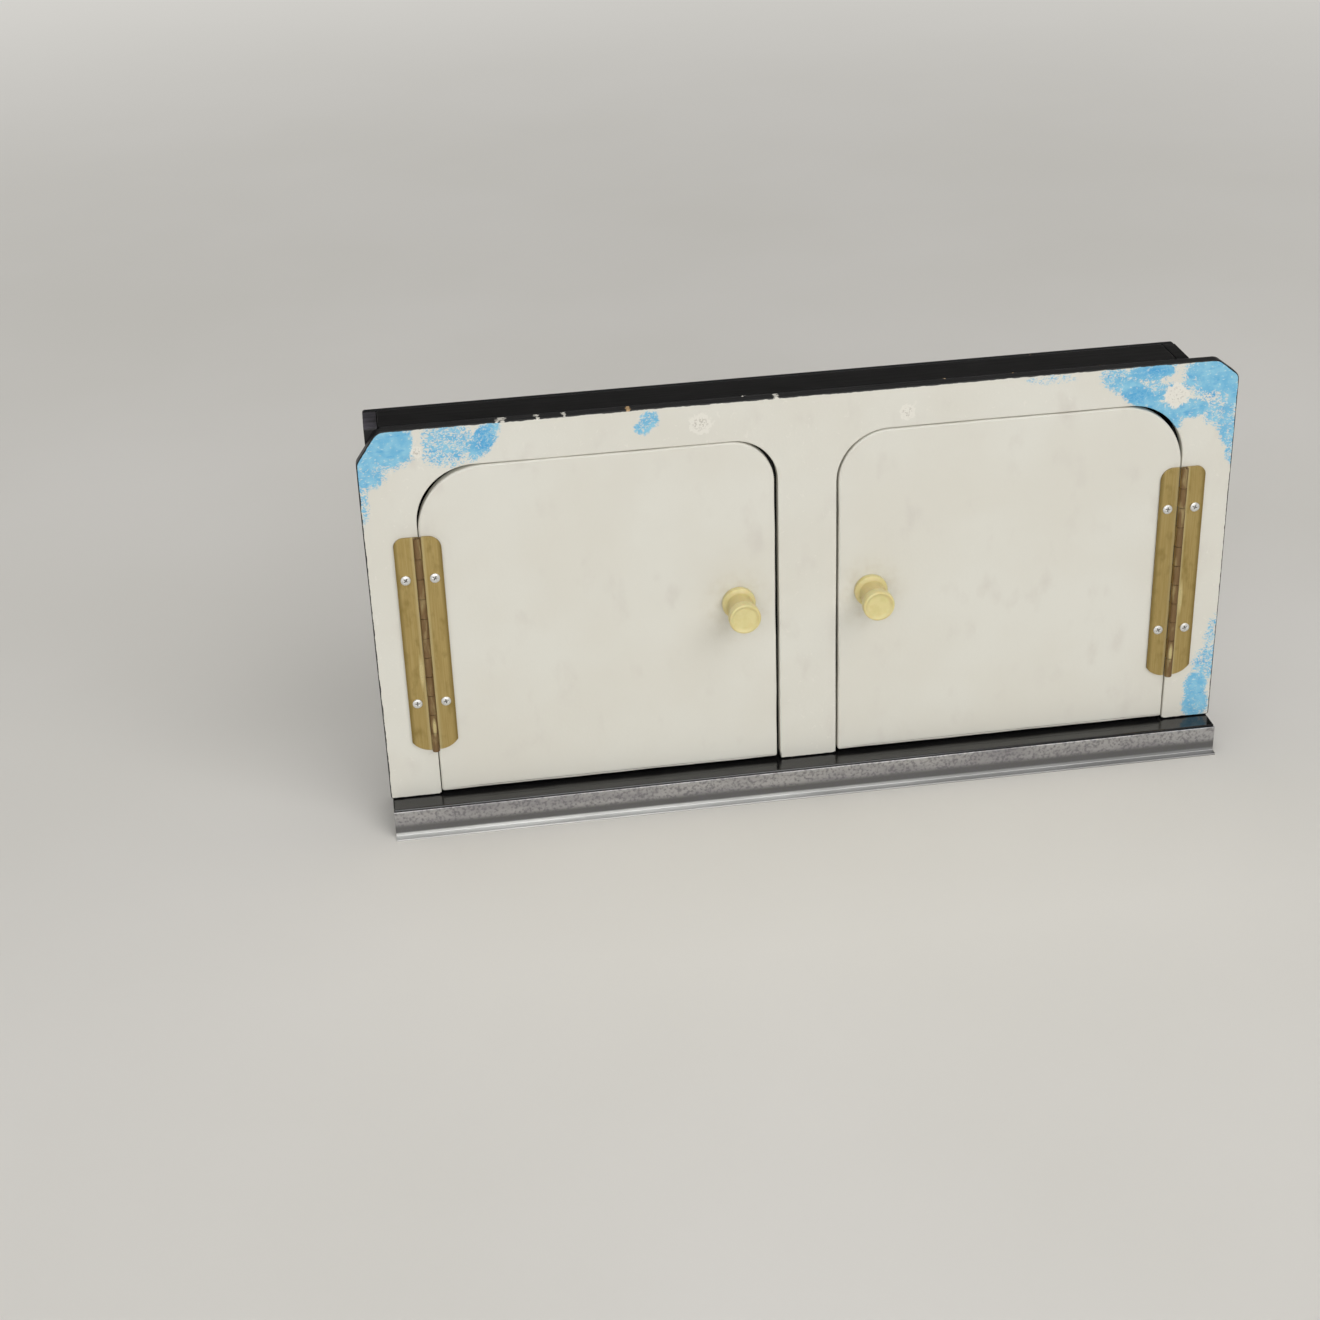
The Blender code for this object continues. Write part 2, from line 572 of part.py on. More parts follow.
def door(side, word, axis, knob, knob_screw, strike):
    """One door with its knob, the knob's screw and the steel disc that the magnet holds."""
    name = f"{word}_door_panel"
    inner = OPENING_INNER + (LEFT_LATCH_GAP if side < 0 else RIGHT_LATCH_GAP)
    outline = doorway_outline(side, inner, DOOR_OUTER, DOOR_BOTTOM, DOOR_TOP, DOOR_OUTER_RADIUS)
    mesh = prism_mesh(name, outline, "Y", FACE_Y, PANEL_BACK, axis.location)
    panel = place(name, mesh, "cream_paint", axis.location, parent=axis)
    round_edges(panel)
    drill(panel, "hinge_screw_holes", hinge_screw_holes(hinge_screw_places(side, -1)))
    knob_x = side * (inner + (LEFT_KNOB_INSET if side < 0 else RIGHT_KNOB_INSET))
    strike_x = side * MAGNET_X
    front = FACE_Y - DRILL_OVERRUN
    rear = PANEL_BACK + DRILL_OVERRUN
    recess = PANEL_BACK - STRIKE_THICKNESS - CLEARANCE
    shank = KNOB_SCREW_RADIUS + CLEARANCE
    disc = STRIKE_RADIUS + CLEARANCE
    knob_hole = ((knob_x, front, KNOB_CENTRE), (knob_x, rear, KNOB_CENTRE), shank)
    strike_hole = ((strike_x, recess, KNOB_CENTRE), (strike_x, rear, KNOB_CENTRE), disc)
    drill(panel, "knob_screw_hole", [knob_hole])
    drill(panel, "strike_recess", [strike_hole], ROUND_SIDES)
    knob_seat = (knob_x, FACE_Y - CLEARANCE, KNOB_CENTRE)
    screw_seat = (knob_x, PANEL_BACK + CLEARANCE, KNOB_CENTRE)
    strike_seat = (strike_x, PANEL_BACK, KNOB_CENTRE)
    place(f"{word}_knob", knob, "cream_plastic", knob_seat, FACING_FRONT, axis)
    place(f"{word}_knob_screw", knob_screw, "plated_steel", screw_seat, FACING_BACK, axis)
    place(f"{word}_strike_plate", strike, "plated_steel", strike_seat, FACING_BACK, axis)


def doors_and_hinges():
    """Both doors, each under an empty on its hinge axis."""
    hinge_screw_length = HINGE_SCREW_END - CLEARANCE - HINGE_SCREW_SEAT
    knob_screw_length = PANEL_THICKNESS + 2 * CLEARANCE + KNOB_SCREW_REACH
    hinge_head = (HINGE_SCREW_HEAD_RADIUS, HINGE_SCREW_HEAD_HEIGHT)
    knob_head = (KNOB_SCREW_HEAD_RADIUS, KNOB_SCREW_HEAD_HEIGHT)
    hinge_screw = screw_mesh("hinge_screw", hinge_screw_length, HINGE_SCREW_RADIUS, *hinge_head)
    knob_screw = screw_mesh("knob_screw", knob_screw_length, KNOB_SCREW_RADIUS, *knob_head)
    knob = knob_mesh()
    strike = disc_mesh("strike_plate", STRIKE_RADIUS, STRIKE_THICKNESS)
    for side, word in ((-1, "left"), (1, "right")):
        axis = add_to_scene(f"{word}_hinge_axis", None, (side * HINGE_X, HINGE_Y, HINGE_BOTTOM), None)
        hinge(side, word, axis, hinge_screw)
        door(side, word, axis, knob, knob_screw, strike)


for leftover in list(bpy.data.objects):
    bpy.data.objects.remove(leftover, do_unlink=True)
base_board()
base_trim()
base_screws()
front_panel()
panel_pins()
carcass()
door_stop()
doors_and_hinges()
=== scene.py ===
# %% [markdown]
# # A miniature wardrobe
#
# The object is a low wardrobe for a model room. One painted sheet makes its front, two doors are cut
# out of that sheet, a shallow black box stands behind it, and a black base board edged with polished
# metal carries it all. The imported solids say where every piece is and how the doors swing, so they are
# loaded first, as a fixed frame. The rest of the lesson gives each solid a finished surface.

# %% Load the solids
import itertools
import json
import math

import bmesh
import bpy
import numpy as np
from mathutils import Matrix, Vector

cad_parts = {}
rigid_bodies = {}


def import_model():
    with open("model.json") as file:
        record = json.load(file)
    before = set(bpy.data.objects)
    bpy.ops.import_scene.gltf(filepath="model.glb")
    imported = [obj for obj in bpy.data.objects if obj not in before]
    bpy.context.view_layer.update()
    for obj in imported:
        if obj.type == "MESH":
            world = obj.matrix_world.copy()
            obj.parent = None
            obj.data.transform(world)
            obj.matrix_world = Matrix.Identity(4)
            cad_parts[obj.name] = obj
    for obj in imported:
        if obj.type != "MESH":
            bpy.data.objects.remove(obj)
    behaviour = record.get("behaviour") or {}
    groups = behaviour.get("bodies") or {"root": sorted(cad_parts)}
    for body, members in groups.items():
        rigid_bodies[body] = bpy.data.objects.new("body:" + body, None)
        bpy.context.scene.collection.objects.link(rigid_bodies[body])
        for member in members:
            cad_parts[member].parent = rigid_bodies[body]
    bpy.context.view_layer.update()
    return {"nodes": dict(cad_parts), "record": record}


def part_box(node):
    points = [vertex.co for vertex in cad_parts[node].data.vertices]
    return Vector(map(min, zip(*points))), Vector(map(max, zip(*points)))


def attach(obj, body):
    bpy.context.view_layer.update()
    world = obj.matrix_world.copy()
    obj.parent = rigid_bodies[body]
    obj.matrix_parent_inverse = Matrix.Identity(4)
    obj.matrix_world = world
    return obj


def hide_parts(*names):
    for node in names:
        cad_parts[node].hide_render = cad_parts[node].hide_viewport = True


for leftover in list(bpy.data.objects):
    bpy.data.objects.remove(leftover)
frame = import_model()
MM = 0.001
SIDES = ("left", "right")
BODIES = frame["record"]["behaviour"]["bodies"]
BODY_OF = {node: body for body, nodes in BODIES.items() for node in nodes}
SLOT_OF = {part["node"]: part["material_slot"] for part in frame["record"]["subparts"]}

# %% [markdown]
# ## From numbers to a piece
#
# Each surface below is a grid of points worked out as whole arrays. One helper joins neighbouring
# points into quads, and another puts points and faces into a mesh. Poles and seams are closed by
# merging doubled points, and the faces are turned outwards. A finished piece takes the body, the slot
# and the place of the solid that it stands for. Weighted normals keep wide faces flat beside narrow
# rounds, so that flat metal reflects as flat metal.

# %% Grids and pieces
MERGE_DISTANCE = 0.0001 * MM


def corners_of(node):
    """Lowest and highest corner of a solid, as arrays."""
    low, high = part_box(node)
    return np.array(low), np.array(high)


def grid_quads(rows, columns, closed=True):
    """Quads of a grid, each from two neighbours and the two above; closed joins last column to first."""
    across = columns if closed else columns - 1
    row, column = np.meshgrid(np.arange(rows - 1), np.arange(across), indexing="ij")
    right = (column + 1) % columns
    lower, upper = row * columns, (row + 1) * columns
    corners = [lower + column, lower + right, upper + right, upper + column]
    return np.stack(corners, -1).reshape(-1, 4)


def new_object(name, data):
    """An object linked into the scene."""
    thing = bpy.data.objects.new(name, data)
    bpy.context.scene.collection.objects.link(thing)
    return thing


def make_piece(node, points, faces, **painted):
    """Give a solid its surface; painted values are spread over its points for the material to read."""
    mesh = bpy.data.meshes.new(f"{node}_surface")
    mesh.from_pydata(points.reshape(-1, 3).tolist(), [], faces)
    for name, values in painted.items():
        layer = mesh.attributes.new(name, "FLOAT", "POINT")
        spread = np.broadcast_to(values, points.shape[:-1])
        layer.data.foreach_set("value", spread.ravel().astype(np.float32))
    shape = bmesh.new()
    shape.from_mesh(mesh)
    bmesh.ops.remove_doubles(shape, verts=shape.verts, dist=MERGE_DISTANCE)
    bmesh.ops.recalc_face_normals(shape, faces=shape.faces)
    shape.to_mesh(mesh)
    shape.free()
    mesh.shade_smooth()
    piece = new_object(mesh.name, mesh)
    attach(piece, BODY_OF[node])
    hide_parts(node)
    return piece


def keep_flats_flat(piece):
    """Weight each normal by face area, as the last modifier."""
    piece.modifiers.new("flats_stay_flat", "WEIGHTED_NORMAL").weight = 100


print("a grid of 3 by 4 points has", len(grid_quads(3, 4, closed=False)), "quads")

# %% [markdown]
# ## Cut sheet and sawn board
#
# The front, the doors and the boards are all flat stock with sanded edges. Such a piece could be a box
# with a Bevel modifier. Here an edge profile is carried round an outline instead, because the same
# function then serves a sheet with two arched openings and a plain board, and each point knows how far
# round the edge it lies. The paint needs that later, to stop at an edge or to wear off there.

# %% Outlines
CUT_CORNER = 1.4 * MM
SIDE_SPACING = 4 * MM


def unit(vectors):
    """Vectors scaled to length 1."""
    return vectors / np.linalg.norm(vectors, axis=-1, keepdims=True)


def rounded_outline(corners, radii, step=1.2 * MM):
    """Closed outline with a round at each corner.

    A round starts radius * tan(turn / 2) before its corner and swings its spoke through the turn
    between the two sides. Points lie about one step apart on a round and SIDE_SPACING on a side.
    """
    corners = np.array(corners, float)
    radii = np.array(radii, float)
    before = unit(corners - np.roll(corners, 1, 0))
    after = np.roll(before, -1, 0)
    crossing = before[:, 0] * after[:, 1] - before[:, 1] * after[:, 0]
    turn = np.arctan2(crossing, (before * after).sum(1))
    reach = (radii * np.tan(np.abs(turn) / 2))[:, None]
    starts = corners - before * reach
    ends = corners + after * reach
    inward = np.sign(turn)[:, None] * np.stack([-before[:, 1], before[:, 0]], 1)
    centres = starts + inward * radii[:, None]
    stretches = []
    for index, radius in enumerate(radii):
        count = 1 if radius == 0 else 3 + int(abs(turn[index]) * radius / step)
        angle = np.linspace(0, turn[index], count)[:, None]
        spoke = starts[index] - centres[index]
        across = np.array([-spoke[1], spoke[0]])
        stretches.append(centres[index] + np.cos(angle) * spoke + np.sin(angle) * across)
        following = starts[(index + 1) % len(corners)]
        parts = 1 + int(np.linalg.norm(following - ends[index]) / SIDE_SPACING)
        share = np.arange(1, parts)[:, None] / parts
        stretches.append(ends[index] + share * (following - ends[index]))
    return np.concatenate(stretches)


def outward_normals(outline):
    """Mitred normals: the sum of both sides' normals over 1 plus the cosine of their angle."""
    following = np.roll(outline, -1, 0)
    after = unit(following - outline)
    before = np.roll(after, 1, 0)
    area = (outline[:, 0] * following[:, 1] - outline[:, 1] * following[:, 0]).sum()
    both = np.sign(area) * (after + before) / (1 + (after * before).sum(1, keepdims=True))
    return np.stack([both[:, 1], -both[:, 0]], 1)


def hand_cut(outline, wander, phase):
    """Shift an outline along its normals by two slow waves, as a hand-held saw wanders."""
    lengths = np.linalg.norm(np.roll(outline, -1, 0) - outline, axis=1)
    along = 2 * np.pi * np.cumsum(lengths) / lengths.sum()
    waves = 0.6 * np.sin(9 * along + phase) + 0.4 * np.sin(23 * along + 2 * phase)
    return outline + wander * waves[:, None] * outward_normals(outline)


square = rounded_outline([(0, 0), (0, 1), (1, 1), (1, 0)], [10 * MM] * 4)
print("a square with 10 mm rounds has", len(square), "points")

# %% Sheets with eased edges
EASE_STEPS = 4
RINGS = 2 * EASE_STEPS + 4
MARGIN = 0.5 * MM


def eased_sheet(node, outline, low, high, ease, thickness_axis, margin=MARGIN, **painted):
    """Flat stock between two levels, with a quarter round of radius ease at both faces.

    At angle a the round lies ease * (1 - sin a) inside the outline and ease * (1 - cos a) from its
    face. A flat margin lies inside each round. The value edge rises from 0 at the margin's inner
    side to 1 on the side wall.
    """
    angle = np.linspace(0, np.pi / 2, EASE_STEPS + 1)
    inset = ease * (1 - np.sin(angle))
    sunk = ease * (1 - np.cos(angle))
    inset = np.concatenate([[ease + margin], inset, inset[::-1], [ease + margin]])
    level = np.concatenate([[low], low + sunk, high - sunk[::-1], [high]])
    rings = outline - inset[:, None, None] * outward_normals(outline)
    shape = rings.shape[:2]
    axes = [rings[..., 0], rings[..., 1]]
    axes.insert(thickness_axis, np.broadcast_to(level[:, None], shape))
    count = len(outline)
    caps = [list(range(count)), list(range((RINGS - 1) * count, RINGS * count))]
    faces = grid_quads(*shape).tolist() + caps
    painted["edge"] = 1 - inset[:, None] / (ease + margin)
    keep_flats_flat(make_piece(node, np.stack(axes, -1), faces, **painted))


def board(node, thickness_axis, ease):
    """A sawn board that fills a solid's box."""
    low, high = corners_of(node)
    a, b = [axis for axis in range(3) if axis != thickness_axis]
    corners = [(low[a], low[b]), (low[a], high[b]), (high[a], high[b]), (high[a], low[b])]
    outline = rounded_outline(corners, [CUT_CORNER] * 4)
    eased_sheet(node, outline, low[thickness_axis], high[thickness_axis], ease, thickness_axis)


print("an eased edge has", RINGS, "rings")

# %% [markdown]
# ## The front sheet and its doors
#
# The front is 6.5 mm sheet. The doors were cut out of it by hand, so their upper corners are rounded by
# eye and the saw gap wanders a little. The sheet's own upper corners are cut off straight and sanded
# round. Its outline runs up the left end, over the top, down the right end and then round both
# openings. The outer edges and the back were painted black together with the box, which the values
# outside and back tell the paint, while the edges of the openings stayed cream.

# %% Doors
# The coats of paint add PAINT_BUILD to both sides of the upper and hinge gaps, and narrow them.
PAINT_BUILD = 0.15 * MM
BARE_GAP = 0.8 * MM
PAINTED_GAP = BARE_GAP - 2 * PAINT_BUILD
LATCH_GAP = {"left": 1.9 * MM, "right": 1.3 * MM}
PANEL_EASE, DOOR_EASE = 0.7 * MM, 1.2 * MM
SAW_WANDER = 0.16 * MM
# Radii of the upper left and right corner. A door's outer one is the larger, so a dark wedge shows.
OPENING_ROUNDS = {"left": (33.5 * MM, 25.5 * MM), "right": (30 * MM, 33.5 * MM)}
DOOR_ROUNDS = {"left": (38 * MM, 25.5 * MM), "right": (30 * MM, 38 * MM)}
panel_low, panel_high = corners_of("front_panel")
FACE, SHEET_BACK = panel_low[1], panel_high[1]


def arched(left, right, bottom, top, rounds):
    """Corners and radii of a doorway shape, from bottom left over the top to bottom right."""
    corners = [(left, bottom), (left, top), (right, top), (right, bottom)]
    return corners, [CUT_CORNER, *rounds, CUT_CORNER]


openings = []
for phase, side in enumerate(("right", "left")):
    door_low, door_high = corners_of(f"{side}_door_panel")
    door_low[0] -= PAINT_BUILD * (side == "left")
    door_high[[0, 2]] += PAINT_BUILD * np.array([side == "right", True])
    gaps = (PAINTED_GAP, LATCH_GAP[side]) if side == "left" else (LATCH_GAP[side], PAINTED_GAP)
    openings.append(arched(door_low[0] - gaps[0], door_high[0] + gaps[1], panel_low[2],
                           door_high[2] + PAINTED_GAP, OPENING_ROUNDS[side]))
    shape = arched(door_low[0], door_high[0], door_low[2], door_high[2], DOOR_ROUNDS[side])
    outline = hand_cut(rounded_outline(*shape), SAW_WANDER, phase)
    eased_sheet(f"{side}_door_panel", outline, FACE, SHEET_BACK, DOOR_EASE, 1)
print("doors: thickness in mm", round((SHEET_BACK - FACE) / MM, 2))

# %% Front sheet
LEFT_CUT, RIGHT_CUT = np.array([12.5, 18]) * MM, np.array([13, 10]) * MM
CUT_ROUND = 6.5 * MM
NEAR = 2.5 * MM
(left, bottom), (right, top) = panel_low[[0, 2]], panel_high[[0, 2]]
panel_corners = [(left, bottom), (left, top - LEFT_CUT[1]), (left + LEFT_CUT[0], top),
                 (right - RIGHT_CUT[0], top), (right, top - RIGHT_CUT[1]), (right, bottom)]
panel_radii = [CUT_CORNER, *[CUT_ROUND] * 4, CUT_CORNER]
for corners, radii in openings:
    panel_corners += corners[::-1]
    panel_radii += radii[::-1]
panel_outline = hand_cut(rounded_outline(panel_corners, panel_radii), SAW_WANDER, phase=4.0)
# The left door was measured last; both openings lie about as far from the middle.
from_middle = np.abs(panel_outline[:, 0])
in_opening = (from_middle > -door_high[0] - NEAR) & (from_middle < NEAR - door_low[0])
in_opening &= panel_outline[:, 1] > panel_low[2] + CUT_CORNER
in_opening &= panel_outline[:, 1] < door_high[2] + NEAR
on_back = np.arange(RINGS)[:, None] > EASE_STEPS + 3
eased_sheet("front_panel", panel_outline, FACE, SHEET_BACK, PANEL_EASE, 1,
            outside=np.maximum(~in_opening, on_back), back=on_back)
print("front sheet:", len(panel_outline), "points round")

# %% [markdown]
# ## The box behind and the base
#
# The box behind the front is plain sawn board, so its boards reuse the sheet function with a smaller
# ease. The door stop inside and the base board keep their solids, because those already have the
# pockets for the magnets and the countersunk holes. The metal along the base is a small extruded angle:
# its L-shaped section is rounded and carried along the width by the same function.

# %% Boards and metal angle
BOARD_EASE = 0.5 * MM
ANGLE_EASE = 0.15 * MM
ANGLE_MARGIN = 0.1 * MM
ANGLE_WALL = 1.0 * MM
ANGLE_ROUNDS = np.array([0.2, 0.3, 0.35, 0.5, 0.35, 0.2]) * MM
THICKNESS_AXES = {"carcass_top": 2, "carcass_left_side": 0, "carcass_right_side": 0, "carcass_back": 1}
for node, thickness_axis in THICKNESS_AXES.items():
    board(node, thickness_axis, BOARD_EASE)

low, high = corners_of("base_trim")
toe, rear, floor_level, crest = low[1], high[1], low[2], high[2]
wall, foot_top = rear - ANGLE_WALL, floor_level + ANGLE_WALL
angle_corners = [(rear, floor_level), (toe, floor_level), (toe, foot_top),
                 (wall, foot_top), (wall, crest), (rear, crest)]
angle_section = rounded_outline(angle_corners, ANGLE_ROUNDS, step=0.15 * MM)
eased_sheet("base_trim", angle_section, low[0], high[0], ANGLE_EASE, 0, margin=ANGLE_MARGIN)
print("metal angle:", len(angle_section), "points round its section")

# %% [markdown]
# ## Turned and round pieces
#
# A knob comes from a mould that was turned on a lathe, and pins, magnets and discs are round bar. All
# of these are a profile swung round an axis, so one function makes them. The knob has a flange on the
# door, a waist for the fingers and a shallow dished face. A value on its points is 1 in its waist, where
# the material paints the colour darker as shade.

# %% Lathe
AXES = np.eye(3)


def turned(node, profile, start, axis, direction, sides, **painted):
    """Swing a profile round an axis.

    point = start + direction * s along the axis + r * (cos t, sin t) across it. The profile lists
    (s, r) pairs. An array of s with one column a side lets the surface leave the plain round.
    """
    along, radius = profile
    angle = np.linspace(0, 2 * np.pi, sides, endpoint=False)
    first, second = [AXES[other] for other in range(3) if other != axis]
    along = np.broadcast_to(along if along.ndim == 2 else along[:, None], (len(radius), sides))
    circle = np.cos(angle)[:, None] * first + np.sin(angle)[:, None] * second
    points = start + direction * along[..., None] * AXES[axis] + radius[:, None, None] * circle
    return make_piece(node, points, grid_quads(*along.shape).tolist(), **painted)


def half_section(corners, radii, step):
    """Rounded profile from axis to axis: the outline's points off the axis, and a pole at each end."""
    outline = rounded_outline(corners, radii, step)
    off_axis = outline[outline[:, 1] > MERGE_DISTANCE]
    return np.concatenate([[corners[0]], off_axis, [corners[-1]]]).T


def round_bar(node, axis, ease, proud=0.0, sides=48):
    """A round bar or disc that fills a solid's box, with eased ends; proud lets its far end stand out."""
    low, high = corners_of(node)
    high[axis] += proud
    start = (low + high) / 2
    start[axis] = low[axis]
    length = high[axis] - low[axis]
    radius = (high[axis - 1] - low[axis - 1]) / 2
    corners = [(0, 0), (0, radius), (length, radius), (length, 0)]
    profile = half_section(corners, [0, ease, ease, 0], step=0.2 * MM)
    keep_flats_flat(turned(node, profile, start, axis, 1, sides))


for side in SIDES:
    round_bar(f"{side}_hinge_pin", 2, ease=0.5 * MM)
    round_bar(f"{side}_magnet", 1, ease=0.3 * MM)
    round_bar(f"{side}_strike_plate", 1, ease=0.15 * MM, proud=0.1 * MM)
print("round bars: pins, magnets and discs")

# %% Knobs
KNOB_SIDES = 96
low, high = corners_of("left_knob")
KNOB_LENGTH, FLANGE = high[1] - low[1], (high[0] - low[0]) / 2
WAIST, HEAD = 7.2 * MM, 9.2 * MM
WAIST_START, WAIST_END = 3 * MM, 18 * MM
# Each corner: distance from the door and radius, from the flange over the waist to the dished face.
knob_corners = [
    (0, 0), (0, FLANGE), (3.2 * MM, FLANGE), (4.6 * MM, WAIST), (14.2 * MM, WAIST), (18.2 * MM, HEAD),
    (KNOB_LENGTH, HEAD), (KNOB_LENGTH - 0.1 * MM, 7.9 * MM), (KNOB_LENGTH - 1.1 * MM, 6.6 * MM),
    (KNOB_LENGTH - 1.3 * MM, 0),
]
knob_rounds = np.array([0, 0.6, 1.0, 1.3, 4.0, 2.0, 1.0, 0.6, 2.5, 0]) * MM
knob_profile = half_section(knob_corners, knob_rounds, step=0.3 * MM)
# 1 deep in the waist, where the material paints the colour darker as shade.
in_waist = np.clip((FLANGE - 0.4 * MM - knob_profile[1]) / (3 * MM), 0, 1)
in_waist *= (knob_profile[0] > WAIST_START) & (knob_profile[0] < WAIST_END)
for side in SIDES:
    low, high = corners_of(f"{side}_knob")
    seat = (low + high) / 2
    seat[1] = FACE
    fitted = knob_profile * np.array([[(FACE - low[1]) / KNOB_LENGTH], [1]])
    knob = turned(f"{side}_knob", fitted, seat, 1, -1, KNOB_SIDES, hollow=in_waist[:, None])
    keep_flats_flat(knob)
print("knob profile:", knob_profile.shape[1], "points")

# %% [markdown]
# ## Screws
#
# The hinge is held by small bright screws with a domed head and a cross recess. A head could be a
# cylinder with a cross cut out of it. Here it is a grid in radius and angle, pressed in where two
# soft-edged bars cross it, which needs no cut and stays light. Each screw stopped at its own angle when
# it was driven, so the crosses don't line up.

# %% Screws
SCREW_SIDES = 72
DOME_ROWS = 16
BAR_HALF, BAR_REACH, BAR_SOFT = 0.12, 0.50, 0.10
SHANK_SHARE, RIM_DEPTH, RIM_TAPER = 0.48, 0.8, 0.98


def soft_step(values):
    """0 below, 1 above, and a short ramp around 0."""
    return np.clip(values / BAR_SOFT + 0.5, 0, 1)


def screw(node, axis, direction, turn, seat, crown, recess, countersunk=False):
    """A cross-head screw whose head looks along direction on an axis and ends at the level seat.

    Dome: s = crown * share ** 2, with share = radius / head radius, measured inwards from the head's
    crown. The cross is where one of two bars, BAR_HALF wide and BAR_REACH long each way as shares of
    the head radius, covers the dome.
    """
    low, high = corners_of(node)
    start = (low + high) / 2
    start[axis] = low[axis] if direction < 0 else high[axis]
    head = (high[axis - 1] - low[axis - 1]) / 2
    length = high[axis] - low[axis]
    under = abs(seat - start[axis])
    share = np.linspace(0, 1, DOME_ROWS)
    shank = SHANK_SHARE * head
    rest_s = [under] if countersunk else [RIM_DEPTH * under, under, under]
    rest_r = [shank] if countersunk else [head, RIM_TAPER * head, shank]
    along = np.concatenate([crown * share ** 2, rest_s, [length - shank, length]])
    radius = np.concatenate([head * share, rest_r, [shank, 0]])
    angle = np.linspace(0, 2 * np.pi, SCREW_SIDES, endpoint=False) + turn
    u, v = np.abs(share[:, None] * np.cos(angle)), np.abs(share[:, None] * np.sin(angle))
    upright = soft_step(BAR_HALF - u) * soft_step(BAR_REACH - v)
    level = soft_step(BAR_HALF - v) * soft_step(BAR_REACH - u)
    dent = np.zeros((len(radius), SCREW_SIDES))
    dent[:DOME_ROWS] = np.maximum(upright, level)
    profile = (along[:, None] + recess * dent, radius)
    # The dent's value goes to the material, which paints the cross darker as shade.
    turned(node, profile, start, axis, -direction, SCREW_SIDES, recess=dent)


LEAF_SETBACK, SUNK_HEAD = 2.0 * MM, 2.6 * MM
LEAF_FRONT = corners_of("left_hinge_pin")[0][1] + LEAF_SETBACK
BASE_SEAT = corners_of("base_screw_1")[0][2] + SUNK_HEAD
hinge_screws = itertools.product(SIDES, ("fixed", "door"), ("lower", "upper"))
for index, (side, leaf, row) in enumerate(hinge_screws):
    screw(f"{side}_{leaf}_leaf_{row}_screw", 1, -1, turn=0.7 * index, seat=LEAF_FRONT,
          crown=0.45 * MM, recess=0.35 * MM)
for index, side in enumerate(SIDES):
    screw(f"{side}_knob_screw", 1, 1, turn=0.4 + index, seat=SHEET_BACK, crown=1.0 * MM, recess=0.9 * MM)
for number in range(1, 5):
    screw(f"base_screw_{number}", 2, -1, turn=0.9 * number, seat=BASE_SEAT,
          crown=0.05 * MM, recess=0.9 * MM, countersunk=True)
print("screws: 8 in the hinges, 2 in the knobs, 4 in the base")

# %% [markdown]
# ## Continuous hinge
#
# Continuous hinge is thin brass strip whose edge is rolled round a wire in every second knuckle, sold by
# length and cut to fit. The ends were snipped and filed round by hand. One grid makes a leaf: its
# columns run from the outer edge to the root and on round the pin, and its rows run up the length. Quads
# in the other leaf's knuckles are left out, Solidify gives the thickness, and a Bevel eases the edges.

# %% Hinge leaves
KNUCKLES = 11
LEAF_THICKNESS = 1.0 * MM
KNUCKLE_RADIUS = 2.2 * MM
CURL_RADIUS = KNUCKLE_RADIUS - LEAF_THICKNESS / 2
ROOT = 2.3 * MM
FOOT_RISE = 6.0 * MM
HEAD_ROUNDS = {"fixed": 5.5 * MM, "door": 7.5 * MM}
KNUCKLE_CLEAR = 0.15 * MM
ROWS, PLATE_COLUMNS, CURL_COLUMNS = 6, 18, 30
CURL_ANGLE = math.radians(318)
CUT_EDGE, CUT_EDGE_ANGLE = 0.12 * MM, math.radians(50)


